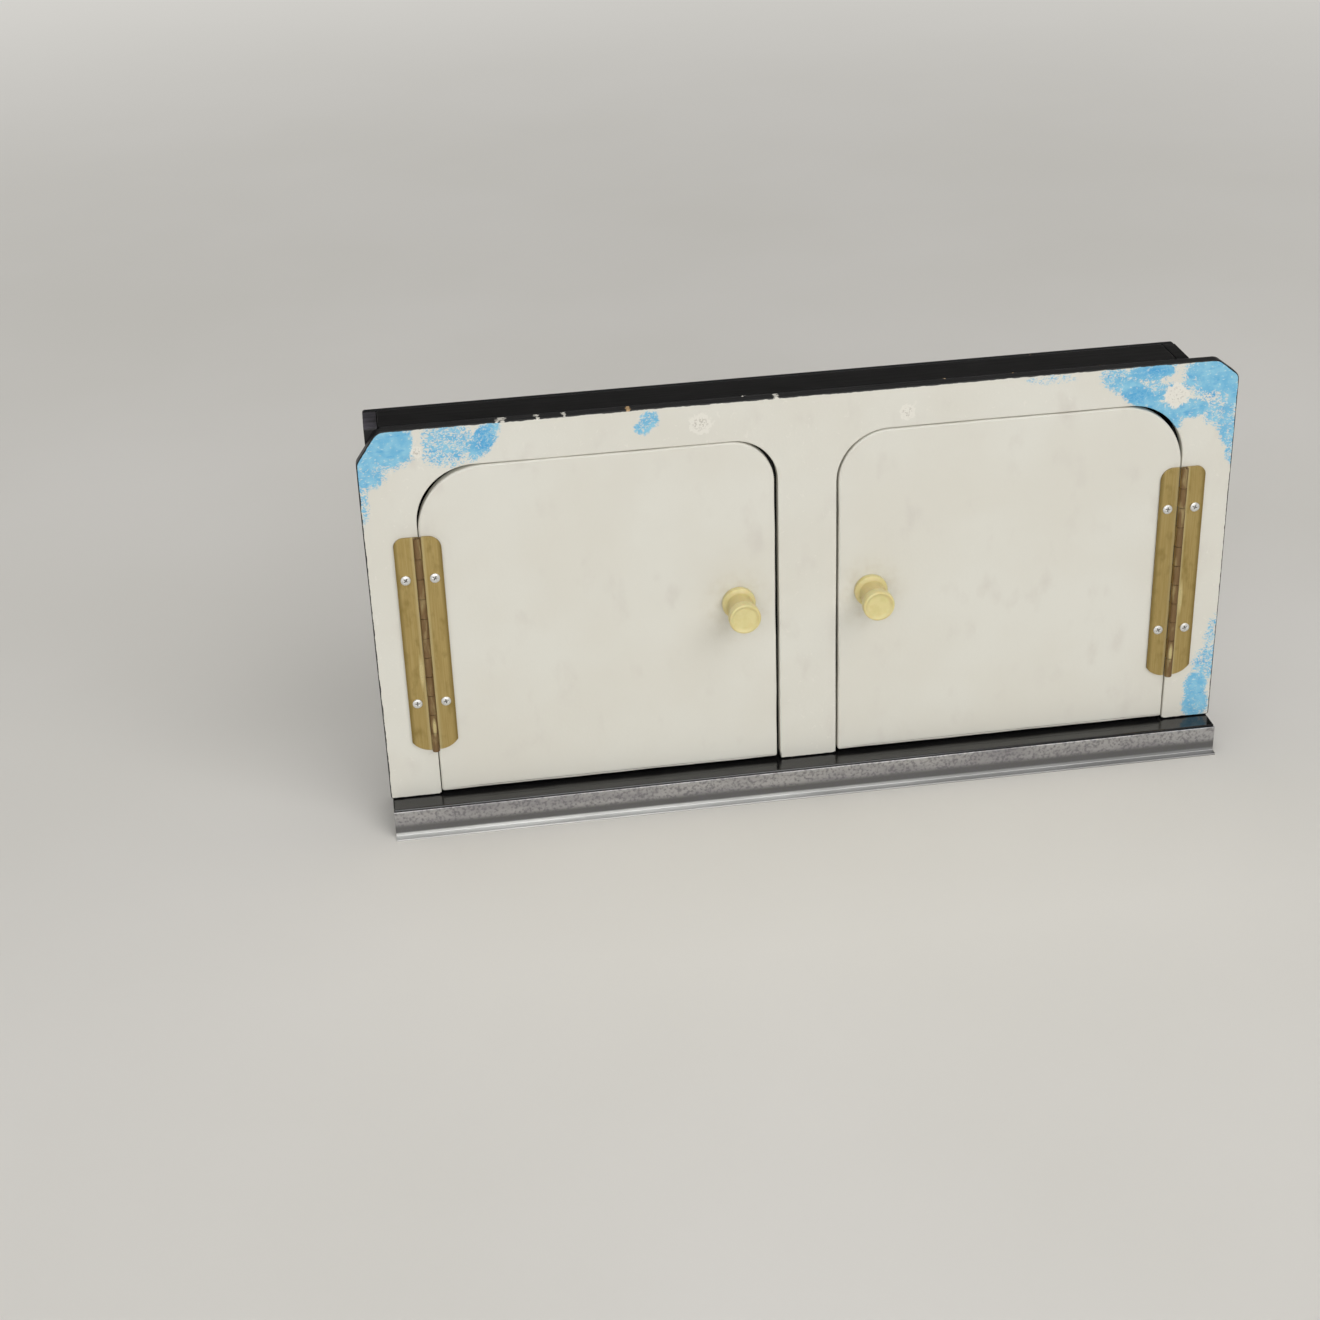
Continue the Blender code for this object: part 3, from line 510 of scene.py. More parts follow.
def hinge_leaf(side, kind, first):
    """One leaf: a plate at CURL_RADIUS behind the axis that goes on round the pin.

    Round the pin its path is (-r sin a, r cos a). The foot's edge rises as a circle's arc from the
    root, and the head's outer corner falls as a quarter round. Rows near an end are shifted in
    proportion, and rows further than one knuckle from it stay level.
    """
    node = f"{side}_hinge_{kind}_leaf"
    low, high = corners_of(node)
    pin_low, pin_high = corners_of(f"{side}_hinge_pin")
    axis_x, axis_y = (pin_low + pin_high)[:2] / 2
    outward = np.sign(axis_x) * (1 if kind == "fixed" else -1)
    reach = max(high[0] - axis_x, axis_x - low[0])
    slot = (high[2] - low[2]) / KNUCKLES
    share = np.linspace(KNUCKLE_CLEAR / slot, 1 - KNUCKLE_CLEAR / slot, ROWS)
    height = (low[2] + slot * (np.arange(KNUCKLES)[:, None] + share)).ravel()
    plate = ROOT + (reach - ROOT) * np.cos(np.linspace(0, np.pi / 2, PLATE_COLUMNS))
    angle = np.linspace(0, CURL_ANGLE, CURL_COLUMNS)
    across = np.concatenate([plate, [ROOT / 2], -CURL_RADIUS * np.sin(angle)])
    behind = np.concatenate([np.full(PLATE_COLUMNS + 1, CURL_RADIUS), CURL_RADIUS * np.cos(angle)])
    out = np.clip(across - ROOT, 0, None)
    foot_radius = ((reach - ROOT) ** 2 + FOOT_RISE ** 2) / (2 * FOOT_RISE)
    rise = foot_radius - np.sqrt(foot_radius ** 2 - out ** 2)
    round_radius = HEAD_ROUNDS[kind]
    over = np.clip(across - (reach - round_radius), 0, round_radius)
    fall = round_radius - np.sqrt(round_radius ** 2 - over ** 2)
    near_foot = np.clip(1 - (height - height[0]) / slot, 0, 1)[:, None]
    near_head = np.clip(1 - (height[-1] - height) / slot, 0, 1)[:, None]
    up = height[:, None] + rise * near_foot - fall * near_head
    sheet = np.broadcast_arrays(axis_x + outward * across, axis_y + behind, up)
    points = np.stack(sheet, -1).reshape(-1, 3)
    quads = grid_quads(len(height), len(across), closed=False)
    row, column = quads[:, 0] // len(across), quads[:, 0] % len(across)
    own = (row // ROWS % 2 == first) & (row % ROWS != ROWS - 1)
    quads = quads[(column < PLATE_COLUMNS - 1) | own]
    used, quads = np.unique(quads, return_inverse=True)
    leaf = make_piece(node, points[used], quads.reshape(-1, 4).tolist())
    strip = leaf.modifiers.new("strip", "SOLIDIFY")
    strip.thickness = LEAF_THICKNESS
    strip.offset = 0
    eased = leaf.modifiers.new("eased", "BEVEL")
    eased.width = CUT_EDGE
    eased.segments = 2
    eased.limit_method = "ANGLE"
    eased.angle_limit = CUT_EDGE_ANGLE
    keep_flats_flat(leaf)
    return slot


for side in SIDES:
    hinge_leaf(side, "fixed", 0)
    knuckle_length = hinge_leaf(side, "door", 1)
print("hinge:", KNUCKLES, "knuckles, one every", round(knuckle_length / MM, 1), "mm")

# %% [markdown]
# ## Ways to build a finish
#
# A finish is a small graph of shader nodes, so one helper adds a node, sets its properties and links its
# sockets. Two patterns come back in every finish. Patches are lumps of noise with a soft edge, sized in
# millimetres. A spot is one soft ellipse at a place on the front. Both read Object coordinates, which
# are metres in the frame of the solids. A last helper lays a finish's coats and closes it.

# %% Node helpers
def colour(code):
    """Linear colour from sRGB hex: c / 12.92 where c is small, else ((c + 0.055) / 1.055) ** 2.4."""
    channels = np.array([int(code[at:at + 2], 16) for at in (1, 3, 5)]) / 255
    linear = np.where(channels <= 0.04045, channels / 12.92, ((channels + 0.055) / 1.055) ** 2.4)
    return (*linear.tolist(), 1.0)


def add(tree, kind, sockets, **settings):
    """Add a node with its settings; a socket gets a value, or a link from another node's output."""
    node = tree.nodes.new(f"ShaderNode{kind}")
    for name, value in settings.items():
        setattr(node, name, value)
    for name, value in sockets.items():
        if isinstance(value, bpy.types.NodeSocket):
            tree.links.new(value, node.inputs[name])
        else:
            node.inputs[name].default_value = value
    return node.outputs


print("cream in linear light:", np.round(colour("#D8D5C8"), 3).tolist())

# %% Patterns and the frame of a finish
# Node settings that come back.
RGBA = {"data_type": "RGBA"}
SMOOTH = {"interpolation_type": "SMOOTHSTEP"}
TIMES = {"operation": "MULTIPLY"}


def start_finish(name):
    """An empty material, its node tree and its Object coordinates."""
    material = bpy.data.materials.new(name)
    material.use_nodes = True
    tree = material.node_tree
    tree.nodes.clear()
    return material, tree, add(tree, "TexCoord", {})["Object"]


def end_finish(tree, base, coats, roughness, height, strength, depth, **sockets):
    """Close a finish: coats over a base colour, each where its mask is, then bump, shader and output."""
    for mask, code in coats:
        base = add(tree, "Mix", {0: mask, 6: base, 7: colour(code)}, **RGBA)[2]
    bump = add(tree, "Bump", {"Strength": strength, "Distance": depth, "Height": height})[0]
    sockets = {"Base Color": base, "Roughness": roughness, "Normal": bump, **sockets}
    add(tree, "OutputMaterial", {"Surface": add(tree, "BsdfPrincipled", sockets)[0]})


def patches(place, size, start, full, shift=0.0, stretch=(1, 1, 1), detail=3.0, torn=0.0, amount=1.0):
    """Mask of noise lumps of a size: 0 where the noise is below start, amount above full.

    Shift moves to other noise, stretch makes lumps longer on an axis, and torn pulls them ragged.
    """
    tree = place.id_data
    scale = [1 / (size * factor) for factor in stretch]
    moved = {"Vector": place, "Location": (shift, shift, shift), "Scale": scale}
    noise = {"Scale": 1.0, "Detail": detail, "Distortion": torn}
    lumps = add(tree, "TexNoise", {"Vector": add(tree, "Mapping", moved)[0], **noise})[0]
    return add(tree, "MapRange", {0: lumps, 1: start, 2: full, 4: amount}, **SMOOTH)[0]


def spot(place, centre, half, turn=0.0, full=1.0, amount=1.0):
    """Mask of an ellipse on the front: its centre and half sizes in mm, its turn in degrees.

    It is 0 at the rim, and amount from the share full of the way in.
    """
    tree = place.id_data
    moved = {"Vector": place, "Location": (centre[0] * MM, 0, centre[1] * MM),
             "Rotation": (0, math.radians(turn), 0), "Scale": (half[0] * MM, 1, half[1] * MM)}
    moved = add(tree, "Mapping", moved, vector_type="TEXTURE")[0]
    inside = add(tree, "TexGradient", {"Vector": moved}, gradient_type="SPHERICAL")[1]
    return add(tree, "MapRange", {0: inside, 2: full, 4: amount})[0]


print("patterns: patches and spots")

# %% [markdown]
# ## Cream paint
#
# Front and doors have satin water-based paint, rolled on in two coats. It gives a warm white with a
# faint roller stipple, grey rubs where things were stacked against it and darker fingermarks round the
# knobs. Sheet and doors share this coat, so it is a function that returns colour, roughness and height.

# %% Cream coat and door finish
CREAM, CREAM_SHADE, RUBBED, SCUFFED = "#DBD9CF", "#D8D5CA", "#D2CEC4", "#B8B4AA"
STIPPLE = 1.6 * MM
PAINT_DEPTH = 0.08 * MM
PAINT_IOR = 1.48
KNOB_GRIME = "#CAC3B2"
# Fingermarks round each knob: their middle and their half width and half height in mm.
FINGERED = ((-41, 124), (37, 124))
FINGERED_REACH = (24, 27)


def cream_coat(place):
    """Colour, roughness and height of the rolled cream paint."""
    tree = place.id_data
    tone = patches(place, 70 * MM, 0.35, 0.65)
    rubs = patches(place, 16 * MM, 0.56, 0.84, shift=7.0, stretch=(1, 1, 1.6))
    scuffs = patches(place, 0.8 * MM, 0.80, 0.88, shift=3.0, stretch=(2.5, 2.5, 1))
    coat = colour(CREAM)
    for mask, code in ((tone, CREAM_SHADE), (rubs, RUBBED), (scuffs, SCUFFED)):
        coat = add(tree, "Mix", {0: mask, 6: coat, 7: colour(code)}, **RGBA)[2]
    roughness = add(tree, "MapRange", {0: rubs, 3: 0.42, 4: 0.6})[0]
    stipple = patches(place, STIPPLE, 0.2, 0.8, shift=1.0)
    return coat, roughness, stipple


door_finish, tree, place = start_finish("rolled_cream_satin_paint")
coat, roughness, stipple = cream_coat(place)
handled = patches(place, 6 * MM, 0.35, 0.75, shift=5.0)
coats = []
for centre in FINGERED:
    near_knob = spot(place, centre, FINGERED_REACH)
    grime = add(tree, "Math", {0: near_knob, 1: handled}, **TIMES)[0]
    coats.append((grime, KNOB_GRIME))
end_finish(tree, coat, coats, roughness, stipple, strength=0.25, depth=PAINT_DEPTH, IOR=PAINT_IOR)
print("door finish:", len(tree.nodes), "nodes")

# %% [markdown]
# ## Sponged blue on the front sheet
#
# Sky-blue paint was dabbed on the corners with a sponge and left broken, so it reads as loose cloudy
# patches. It could be painted by hand into an image, but a list of dabs keeps it free of resolution.
# Each dab is an ellipse with a cover between 0 and 1.2. Sponge noise is added to the cover, and paint
# lies where the sum passes a threshold: full cover gives solid blue, half cover gives speckle. Bare
# strokes take the cover away again.

# %% Where the sponge touched
# Each dab: centre across and up, half width and half height in mm, turn in degrees, cover.
BLUE_DABS = (
    (236, 240, 24, 16, 0, 1.2), (246, 236, 13, 20, 0, 1.2), (199, 245, 20, 7, 0, 1.0),
    (180, 241, 16, 9, 25, 0.7), (192, 232, 20, 9, 38, 1.05), (208, 218, 14, 8, 40, 1.05),
    (222, 222, 16, 8, 0, 1.0), (205, 234, 18, 9, 0, 0.8), (240, 219, 13, 12, 0, 0.72),
    (246, 207, 8, 18, -18, 0.72), (249, 193, 5, 10, 0, 0.62), (-238, 241, 26, 18, 0, 1.2),
    (-246, 227, 15, 14, 0, 0.85), (-250, 208, 6, 18, 0, 0.55), (-200, 239, 20, 16, 0, 0.6),
    (-180, 240, 8, 17, 36, 0.85), (-88, 243, 7, 6.5, 20, 0.72), (-92, 238, 6, 5, 0, 0.72),
    (140, 246, 20, 4, 0, 0.3), (249, 70, 8, 20, 0, 0.52), (246, 54, 12, 14, 0, 0.6),
    (240, 40, 9, 13, 8, 0.9), (240.5, 27, 10.5, 13, 0, 0.9),
)
# Each bare stroke: centre, half width and half height in mm, turn in degrees, share of cover kept.
BARE_STROKES = (
    (211, 240, 11, 4, 0, 0.3), (213.5, 246, 3.5, 5, 0, 0.3), (-216, 240, 3.4, 14, 0, 0.3),
    (225, 231, 7, 9, 0, 0.58), (238, 227, 11, 7, 0, 0.6), (196, 238, 9, 5, 30, 0.74),
    (-236, 228, 10, 5, 30, 0.7),
)
panel_finish, tree, place = start_finish("sponged_sky_blue_over_cream_satin_paint")
coat, roughness, stipple = cream_coat(place)
cover = 0.0
for x, z, *half, turn, amount in BLUE_DABS:
    dab = spot(place, (x, z), half, turn, full=0.4, amount=amount)
    cover = add(tree, "Math", {0: cover, 1: dab}, operation="MAXIMUM")[0]
for x, z, *half, turn, kept in BARE_STROKES:
    bare = spot(place, (x, z), half, turn, full=0.5)
    bare = add(tree, "MapRange", {0: bare, 3: 1.0, 4: kept})[0]
    cover = add(tree, "Math", {0: cover, 1: bare}, **TIMES)[0]
print("sponged finish:", len(BLUE_DABS), "dabs and", len(BARE_STROKES), "bare strokes")

# %% Blue paint
SKY, SKY_LIGHT, SKY_DEEP, SKY_FLECK = "#6CB3D7", "#88C3DC", "#3F9CD2", "#D3E2E2"
SPONGE_PORE = 1.4 * MM
# Each deep dab: centre, half width and half height in mm.
DEEP_DABS = ((200, 246, 14, 4), (190, 232, 12, 6), (234, 228, 5, 4), (-180, 240, 8, 12))
sponge = patches(place, SPONGE_PORE, 0.2, 0.8, shift=11.0, stretch=(1.3, 1, 1), detail=6.0, torn=1.2)
wet = add(tree, "Math", {0: sponge, 1: cover}, operation="ADD")[0]
blue = add(tree, "MapRange", {0: wet, 1: 0.76, 2: 1.26}, **SMOOTH)[0]
in_dab = add(tree, "MapRange", {0: cover, 1: 0.02, 2: 0.2})[0]
blue = add(tree, "Math", {0: blue, 1: in_dab}, **TIMES)[0]
light = patches(place, 6 * MM, 0.35, 0.65, shift=2.0, detail=6.0)
streaks = patches(place, 3.2 * MM, 0.55, 0.70, shift=15.0, stretch=(2.2, 1, 0.8), detail=6.0, amount=0.6)
flecks = patches(place, 1.5 * MM, 0.58, 0.72, shift=17.0, stretch=(1.6, 1, 0.8), detail=5.0, amount=0.75)
sky = colour(SKY)
for mask, code in ((light, SKY_LIGHT), (streaks, SKY_DEEP), (flecks, SKY_FLECK)):
    sky = add(tree, "Mix", {0: mask, 6: sky, 7: colour(code)}, **RGBA)[2]
for x, z, *half in DEEP_DABS:
    deep = spot(place, (x, z), half, full=0.6)
    deep = add(tree, "Math", {0: deep, 1: sponge}, **TIMES)[0]
    sky = add(tree, "Mix", {0: deep, 6: sky, 7: colour(SKY_DEEP)}, **RGBA)[2]
coat = add(tree, "Mix", {0: blue, 6: coat, 7: sky}, **RGBA)[2]
print("blue paint:", len(tree.nodes), "nodes so far")

# %% [markdown]
# ## Filled holes and black edges
#
# The sheet is pinned to the box, and the pin holes were filled and touched up by hand, which left pale
# ragged patches with a little grit. The edges of the sheet are black like the box. The value outside is
# 1 on them, noise makes the line where black meets cream uneven, and small chips along the upper edge
# show primer or bare wood. All of it stays one material, as on the sheet one coat lies over another.

# %% Filled holes
FILLER, GRIT = "#E2DFD5", "#C2BDB2"
# Each filled hole: centre and radius in mm.
FILLED_HOLES = ((-216.5, 236, 3.6), (-60, 237.7, 6.5), (57, 234.2, 4.6), (213.5, 230, 7.5))
height = stipple
grit = patches(place, 0.9 * MM, 0.5, 0.62, shift=13.0)
torn_edge = patches(place, 3 * MM, 0.3, 0.7, shift=19.0, detail=5.0, torn=1.0)
for x, z, radius in FILLED_HOLES:
    filled = spot(place, (x, z), (1.2 * radius, 1.2 * radius), full=0.5)
    filled = add(tree, "Math", {0: torn_edge, 1: 0.7, 2: filled}, operation="MULTIPLY_ADD")[0]
    filled = add(tree, "MapRange", {0: filled, 1: 0.66, 2: 0.9})[0]
    coat = add(tree, "Mix", {0: filled, 6: coat, 7: colour(FILLER)}, **RGBA)[2]
    gritty = spot(place, (x, z), (0.85 * radius, 0.8 * radius), full=0.5)
    gritty = add(tree, "Math", {0: gritty, 1: grit}, **TIMES)[0]
    coat = add(tree, "Mix", {0: gritty, 6: coat, 7: colour(GRIT)}, **RGBA)[2]
    height = add(tree, "Math", {0: height, 1: filled}, operation="ADD")[0]
print("filled holes:", len(FILLED_HOLES))

# %% Black edges
EDGE_BLACK, PRIMER, BARE_WOOD = "#0F0F10", "#CFCBC0", "#B4946A"
# Each chip on the upper edge: place across and half length in mm, and what shows there.
EDGE_CHIPS = (
    (-169.5, 4, PRIMER), (-150, 2, PRIMER), (-135, 1.8, PRIMER), (-17, 2.2, PRIMER),
    (-99.5, 2, BARE_WOOD),
)
CHIP_HALF_HEIGHT = 1.8
UPPER_EDGE = float(panel_high[2]) / MM
edge, outside, back = [
    add(tree, "Attribute", {}, attribute_name=name)["Fac"] for name in ("edge", "outside", "back")]
ragged = patches(place, 4 * MM, 0.2, 0.8, shift=4.0)
line = add(tree, "Math", {0: ragged, 1: 0.4, 2: edge}, operation="MULTIPLY_ADD")[0]
black = add(tree, "MapRange", {0: line, 1: 0.58, 2: 0.7})[0]
black = add(tree, "Math", {0: black, 1: outside}, **TIMES)[0]
black = add(tree, "Math", {0: black, 1: back}, operation="MAXIMUM")[0]
crumbs = patches(place, 1.3 * MM, 0.3, 0.7, shift=9.0, stretch=(1.6, 1, 1))
edging = colour(EDGE_BLACK)
for x, half_length, shows in EDGE_CHIPS:
    chip = spot(place, (x, UPPER_EDGE), (half_length, CHIP_HALF_HEIGHT), full=0.9)
    chip = add(tree, "Math", {0: chip, 1: crumbs}, operation="ADD")[0]
    chip = add(tree, "MapRange", {0: chip, 1: 1.05, 2: 1.15})[0]
    edging = add(tree, "Mix", {0: chip, 6: edging, 7: colour(shows)}, **RGBA)[2]
coat = add(tree, "Mix", {0: black, 6: coat, 7: edging}, **RGBA)[2]
end_finish(tree, coat, (), roughness, height, strength=0.3, depth=PAINT_DEPTH, IOR=PAINT_IOR)
print("panel finish:", len(tree.nodes), "nodes")

# %% [markdown]
# ## Black paint
#
# The box is brushed with black satin paint that has gone dusty on top and chipped along its edges, down
# to primer or bare wood. Its left side is rubbed grey on the upper end. The base board has a harder
# gloss enamel, smooth enough to mirror the doors above its ledge. All are the same pattern with other
# numbers, so one function makes them.

# %% Black finishes
def black_paint(name, black, dusty, dust_amount, smooth, rough, chip_start, **gloss):
    """Black paint: dust on faces that look up, brush lines, and chips where edge nears its arris."""
    material, tree, place = start_finish(name)
    up = add(tree, "SeparateXYZ", {0: add(tree, "NewGeometry", {})["Normal"]})[2]
    cloud = patches(place, 12 * MM, 0.3, 0.8, amount=dust_amount)
    dust = add(tree, "Math", {0: up, 1: cloud}, use_clamp=True, **TIMES)[0]
    coat = add(tree, "Mix", {0: dust, 6: colour(black), 7: colour(dusty)}, **RGBA)[2]
    edge = add(tree, "Attribute", {}, attribute_name="edge")["Fac"]
    arris = add(tree, "MapRange", {0: edge, 1: 0.0, 2: 0.4})[0]
    chips = patches(place, 2.5 * MM, chip_start, chip_start + 0.03, shift=8.0, stretch=(1.8, 1, 1))
    chips = add(tree, "Math", {0: chips, 1: arris}, **TIMES)[0]
    kind = patches(place, 25 * MM, 0.49, 0.51, shift=6.0)
    chip = add(tree, "Mix", {0: kind, 6: colour(PRIMER), 7: colour(BARE_WOOD)}, **RGBA)[2]
    coat = add(tree, "Mix", {0: chips, 6: coat, 7: chip}, **RGBA)[2]
    marks = patches(place, 3 * MM, 0.35, 0.75, shift=2.0, stretch=(14, 1, 14))
    roughness = add(tree, "MapRange", {0: marks, 3: smooth, 4: rough})[0]
    end_finish(tree, coat, (), roughness, marks, strength=0.12, depth=0.05 * MM, **gloss)
    return material


box_finish = black_paint("brushed_black_satin_paint", "#080809", "#141314", dust_amount=0.6,
                         smooth=0.28, rough=0.42, chip_start=0.72, IOR=1.3)
HARD_GLOSS = {"IOR": 1.5, "Coat Weight": 0.4, "Coat Roughness": 0.08, "Coat IOR": 1.5}
base_finish = black_paint("black_gloss_enamel", "#0E0E0F", "#1A1919", dust_amount=0.5,
                          smooth=0.14, rough=0.28, chip_start=0.70, **HARD_GLOSS)
side_finish = black_paint("worn_black_satin_paint", "#141315", "#55515A", dust_amount=1.0,
                          smooth=0.45, rough=0.65, chip_start=0.72, IOR=1.4)
print("black finishes:", box_finish.name, base_finish.name, side_finish.name)

# %% [markdown]
# ## Aluminium angle
#
# The angle along the base is extruded aluminium, polished along its length, then speckled and dulled by
# handling. Its lower half is painted darker, a painted shade for the floor's shadow that it reflects, and
# its foot carries a painted highlight, brightest at the left end. A metal keeps the default IOR and takes
# its colour as its reflectance, so wear, painted shade and painted highlight are all colour and roughness.

# %% Aluminium
angle_finish, tree, place = start_finish("polished_extruded_aluminium")
across, _, up = add(tree, "SeparateXYZ", {0: place})
smears = patches(place, 22 * MM, 0.35, 0.7, stretch=(3, 1, 0.5))
# Darker towards the bottom: a painted shade for the floor's shadow that the lower half reflects.
lower_half_painted_shade = add(tree, "MapRange", {0: up, 1: 10 * MM, 2: 6 * MM}, **SMOOTH)[0]
specks = patches(place, 1.7 * MM, 0.42, 0.68, shift=5.0, amount=0.7)
# The foot gets a painted highlight, brightest at the left end and fading towards the right.
foot_painted_highlight = add(tree, "MapRange", {0: up, 1: 3.6 * MM, 2: 2.4 * MM}, **SMOOTH)[0]
along = add(tree, "MapRange", {0: across, 1: -0.15, 2: 0.25, 3: 0.9, 4: 0.25})[0]
foot_painted_highlight = add(tree, "Math", {0: foot_painted_highlight, 1: along}, **TIMES)[0]
# Smears and specks are handling marks; the darker lower half is painted shade and the bright foot a
# painted highlight.
coats = ((smears, "#A19FA2"), (lower_half_painted_shade, "#787877"), (specks, "#7B797E"), (foot_painted_highlight, "#E0E0DE"))
# Polishing lines are about 0.05 mm apart; they are drawn 0.4 mm apart so that they show.
lines = patches(place, 0.4 * MM, 0.2, 0.8, stretch=(150, 1, 1))
roughness = add(tree, "MapRange", {0: smears, 3: 0.30, 4: 0.46})[0]
roughness = add(tree, "Math", {0: foot_painted_highlight, 1: 0.2, 2: roughness}, operation="MULTIPLY_ADD")[0]
end_finish(tree, colour("#C2C1C2"), coats, roughness, lines, strength=0.10, depth=0.02 * MM, Metallic=1.0)
print("aluminium:", len(tree.nodes), "nodes")

# %% [markdown]
# ## Aged brass
#
# The hinge is brass that has gone olive brown, with the grain of the rolled strip along it. Its outer
# edges are painted darker as shade, its knuckles are brown with some rubbed bright spots, and a painted
# highlight lies beside them and in two streaks. The tones follow the distance from the axis, so both
# hinges share one finish.

# %% Brass
HINGE_AXIS = float(np.mean(corners_of("right_hinge_pin"), 0)[0])
# Each painted highlight streak: place out from the axis, height, half width and half height in mm.
PAINTED_HIGHLIGHT_STREAKS = ((-0.3, 66, 1.4, 7), (4.2, 101, 1.6, 13))
hinge_finish, tree, place = start_finish("aged_rolled_brass")
across = add(tree, "SeparateXYZ", {0: place})[0]
from_middle = add(tree, "Math", {0: across}, operation="ABSOLUTE")[0]
from_axis = add(tree, "Math", {0: from_middle, 1: HINGE_AXIS}, operation="SUBTRACT")[0]
from_axis = add(tree, "Math", {0: from_axis}, operation="ABSOLUTE")[0]
grain = patches(place, 0.6 * MM, 0.3, 0.7, stretch=(1, 1, 40))
blotches = patches(place, 5 * MM, 0.5, 0.8, shift=3.0, stretch=(1, 1, 2))
# Painted shade: darker towards the outer edges of the leaves.
painted_edge_shade = add(tree, "MapRange", {0: from_axis, 1: 10.5 * MM, 2: 13.3 * MM}, **SMOOTH)[0]
# Painted highlight: a bright strip beside each knuckle.
painted_knuckle_side_highlight = add(tree, "MapRange", {0: from_axis, 1: 4.2 * MM, 2: 2.8 * MM})[0]
knuckle = add(tree, "MapRange", {0: from_axis, 1: 2.5 * MM, 2: 2.0 * MM})[0]
wear_and_painted_highlight = patches(place, 3 * MM, 0.45, 0.75, shift=2.0, stretch=(1, 1, 4), amount=0.45)
wear_and_painted_highlight = add(tree, "Math", {0: knuckle, 1: wear_and_painted_highlight}, **TIMES)[0]
# The streaks are painted highlights, added to the rubbed spots on the knuckles.
for side, (out, up, *half) in itertools.product((-1, 1), PAINTED_HIGHLIGHT_STREAKS):
    highlight_streak = spot(place, (side * (HINGE_AXIS / MM + out), up), half, full=0.6)
    wear_and_painted_highlight = add(tree, "Math", {0: wear_and_painted_highlight, 1: highlight_streak}, operation="MAXIMUM")[0]
coats = ((grain, "#BDA770"), (blotches, "#A08B54"), (painted_edge_shade, "#8F7B4A"),
         (painted_knuckle_side_highlight, "#CDBD8C"), (knuckle, "#8A7050"), (wear_and_painted_highlight, "#E2D29C"))
roughness = add(tree, "MapRange", {0: wear_and_painted_highlight, 3: 0.46, 4: 0.26})[0]
end_finish(tree, colour("#B29B62"), coats, roughness, grain, strength=0.15, depth=0.03 * MM, Metallic=1.0)
print("brass: hinge axis", round(HINGE_AXIS / MM, 1), "mm from the middle")

# %% [markdown]
# ## Plated steel
#
# Screws, panel pins, magnets and discs are plated steel: pale, bright and a little blotched where the
# plating has dulled. The cross of a screw is painted darker as shade, where its value recess marks it.

# %% Steel
screw_finish, tree, place = start_finish("zinc_plated_steel")
recess = add(tree, "Attribute", {}, attribute_name="recess")["Fac"]
dulled = patches(place, 1.2 * MM, 0.4, 0.75)
# The darker cross colour is painted shade; the dulled patches are the plating's own.
coats = ((dulled, "#CFCFCD"), (recess, "#7C7973"))
roughness = add(tree, "MapRange", {0: dulled, 3: 0.34, 4: 0.50})[0]
end_finish(tree, colour("#ECECEA"), coats, roughness, dulled, strength=0.08, depth=0.02 * MM, Metallic=1.0)
print("plated steel:", len(tree.nodes), "nodes")

# %% [markdown]
# ## Knob plastic
#
# The knobs are moulded from cream plastic that has yellowed with age. The colour is painted deeper in
# the waist as shade, which leaves the rims paler, and the surface has a soft gloss with fine rubs. A
# little subsurface scatter gives the milky look of such plastic.

# %% Knob finish
MILKY = {"IOR": 1.5, "Subsurface Weight": 0.15, "Subsurface Scale": 1.5 * MM}
knob_finish, tree, place = start_finish("aged_cream_moulded_plastic")
hollow = add(tree, "Attribute", {}, attribute_name="hollow")["Fac"]
cloud = patches(place, 5 * MM, 0.35, 0.7)
# The waist colour is painted shade; the cloud is the plastic's own uneven tone.
coats = ((cloud, "#D4C78A"), (hollow, "#CDBA7E"))
rubs = patches(place, 1.2 * MM, 0.45, 0.8, shift=4.0)
roughness = add(tree, "MapRange", {0: rubs, 3: 0.28, 4: 0.48})[0]
end_finish(tree, colour("#DBCF96"), coats, roughness, rubs, strength=0.08, depth=0.03 * MM, **MILKY)
print("knob finish:", len(tree.nodes), "nodes")

# %% [markdown]
# ## Putting the finishes on
#
# Each slot of the record has one finish, except the black slot, where the base gets the gloss enamel and
# the left side its rubbed paint. A solid that stays has a material already, which is exchanged.

# %% Dress every piece
FINISH_OF_SLOT = {
    "panel_paint": panel_finish, "door_paint": door_finish, "black_paint": box_finish,
    "polished_aluminium": angle_finish, "aged_brass": hinge_finish, "plated_steel": screw_finish,
    "cream_plastic": knob_finish,
}
OWN_FINISH = {"base_board": base_finish, "carcass_left_side": side_finish}
dressed = 0
for node, solid in frame["nodes"].items():
    finish = OWN_FINISH.get(node, FINISH_OF_SLOT[SLOT_OF[node]])
    new_piece = bpy.data.objects.get(f"{node}_surface")
    dressed += new_piece is not None
    materials = (new_piece or solid).data.materials
    materials.clear()
    materials.append(finish)
print("dressed:", dressed, "new pieces and", len(frame["nodes"]) - dressed, "solids")

# %% [markdown]
# ## Floor, light and camera
#
# The wardrobe stands on a plain pale floor. A large soft lamp at the upper right front throws the soft
# shadow of the knobs to the lower left, a low wide one in front reaches into the saw gaps, one overhead
# evens out the floor, and a weak one fills the left. The world lights the object with a quiet grey. To
# the camera and in gloss it shows a pale backdrop that darkens overhead, so that the black top stays
# black. The camera stands where the photograph was taken from.

# %% Floor
FLOOR_HALF = 14.0
FLOOR_TICKS = 29
FLOOR_COLOUR, FLOOR_SHADE, BACKDROP, CEILING = "#DEDBD5", "#DAD7D0", "#D6D4CF", "#232221"


def background_rays(tree):
    """1 for rays that show a background: the camera's own and those from gloss or glass, else 0."""
    rays = add(tree, "LightPath", {})
    seen = rays["Is Camera Ray"]
    for kind in ("Is Glossy Ray", "Is Transmission Ray"):
        seen = add(tree, "Math", {0: seen, 1: rays[kind]}, operation="MAXIMUM")[0]
    return seen


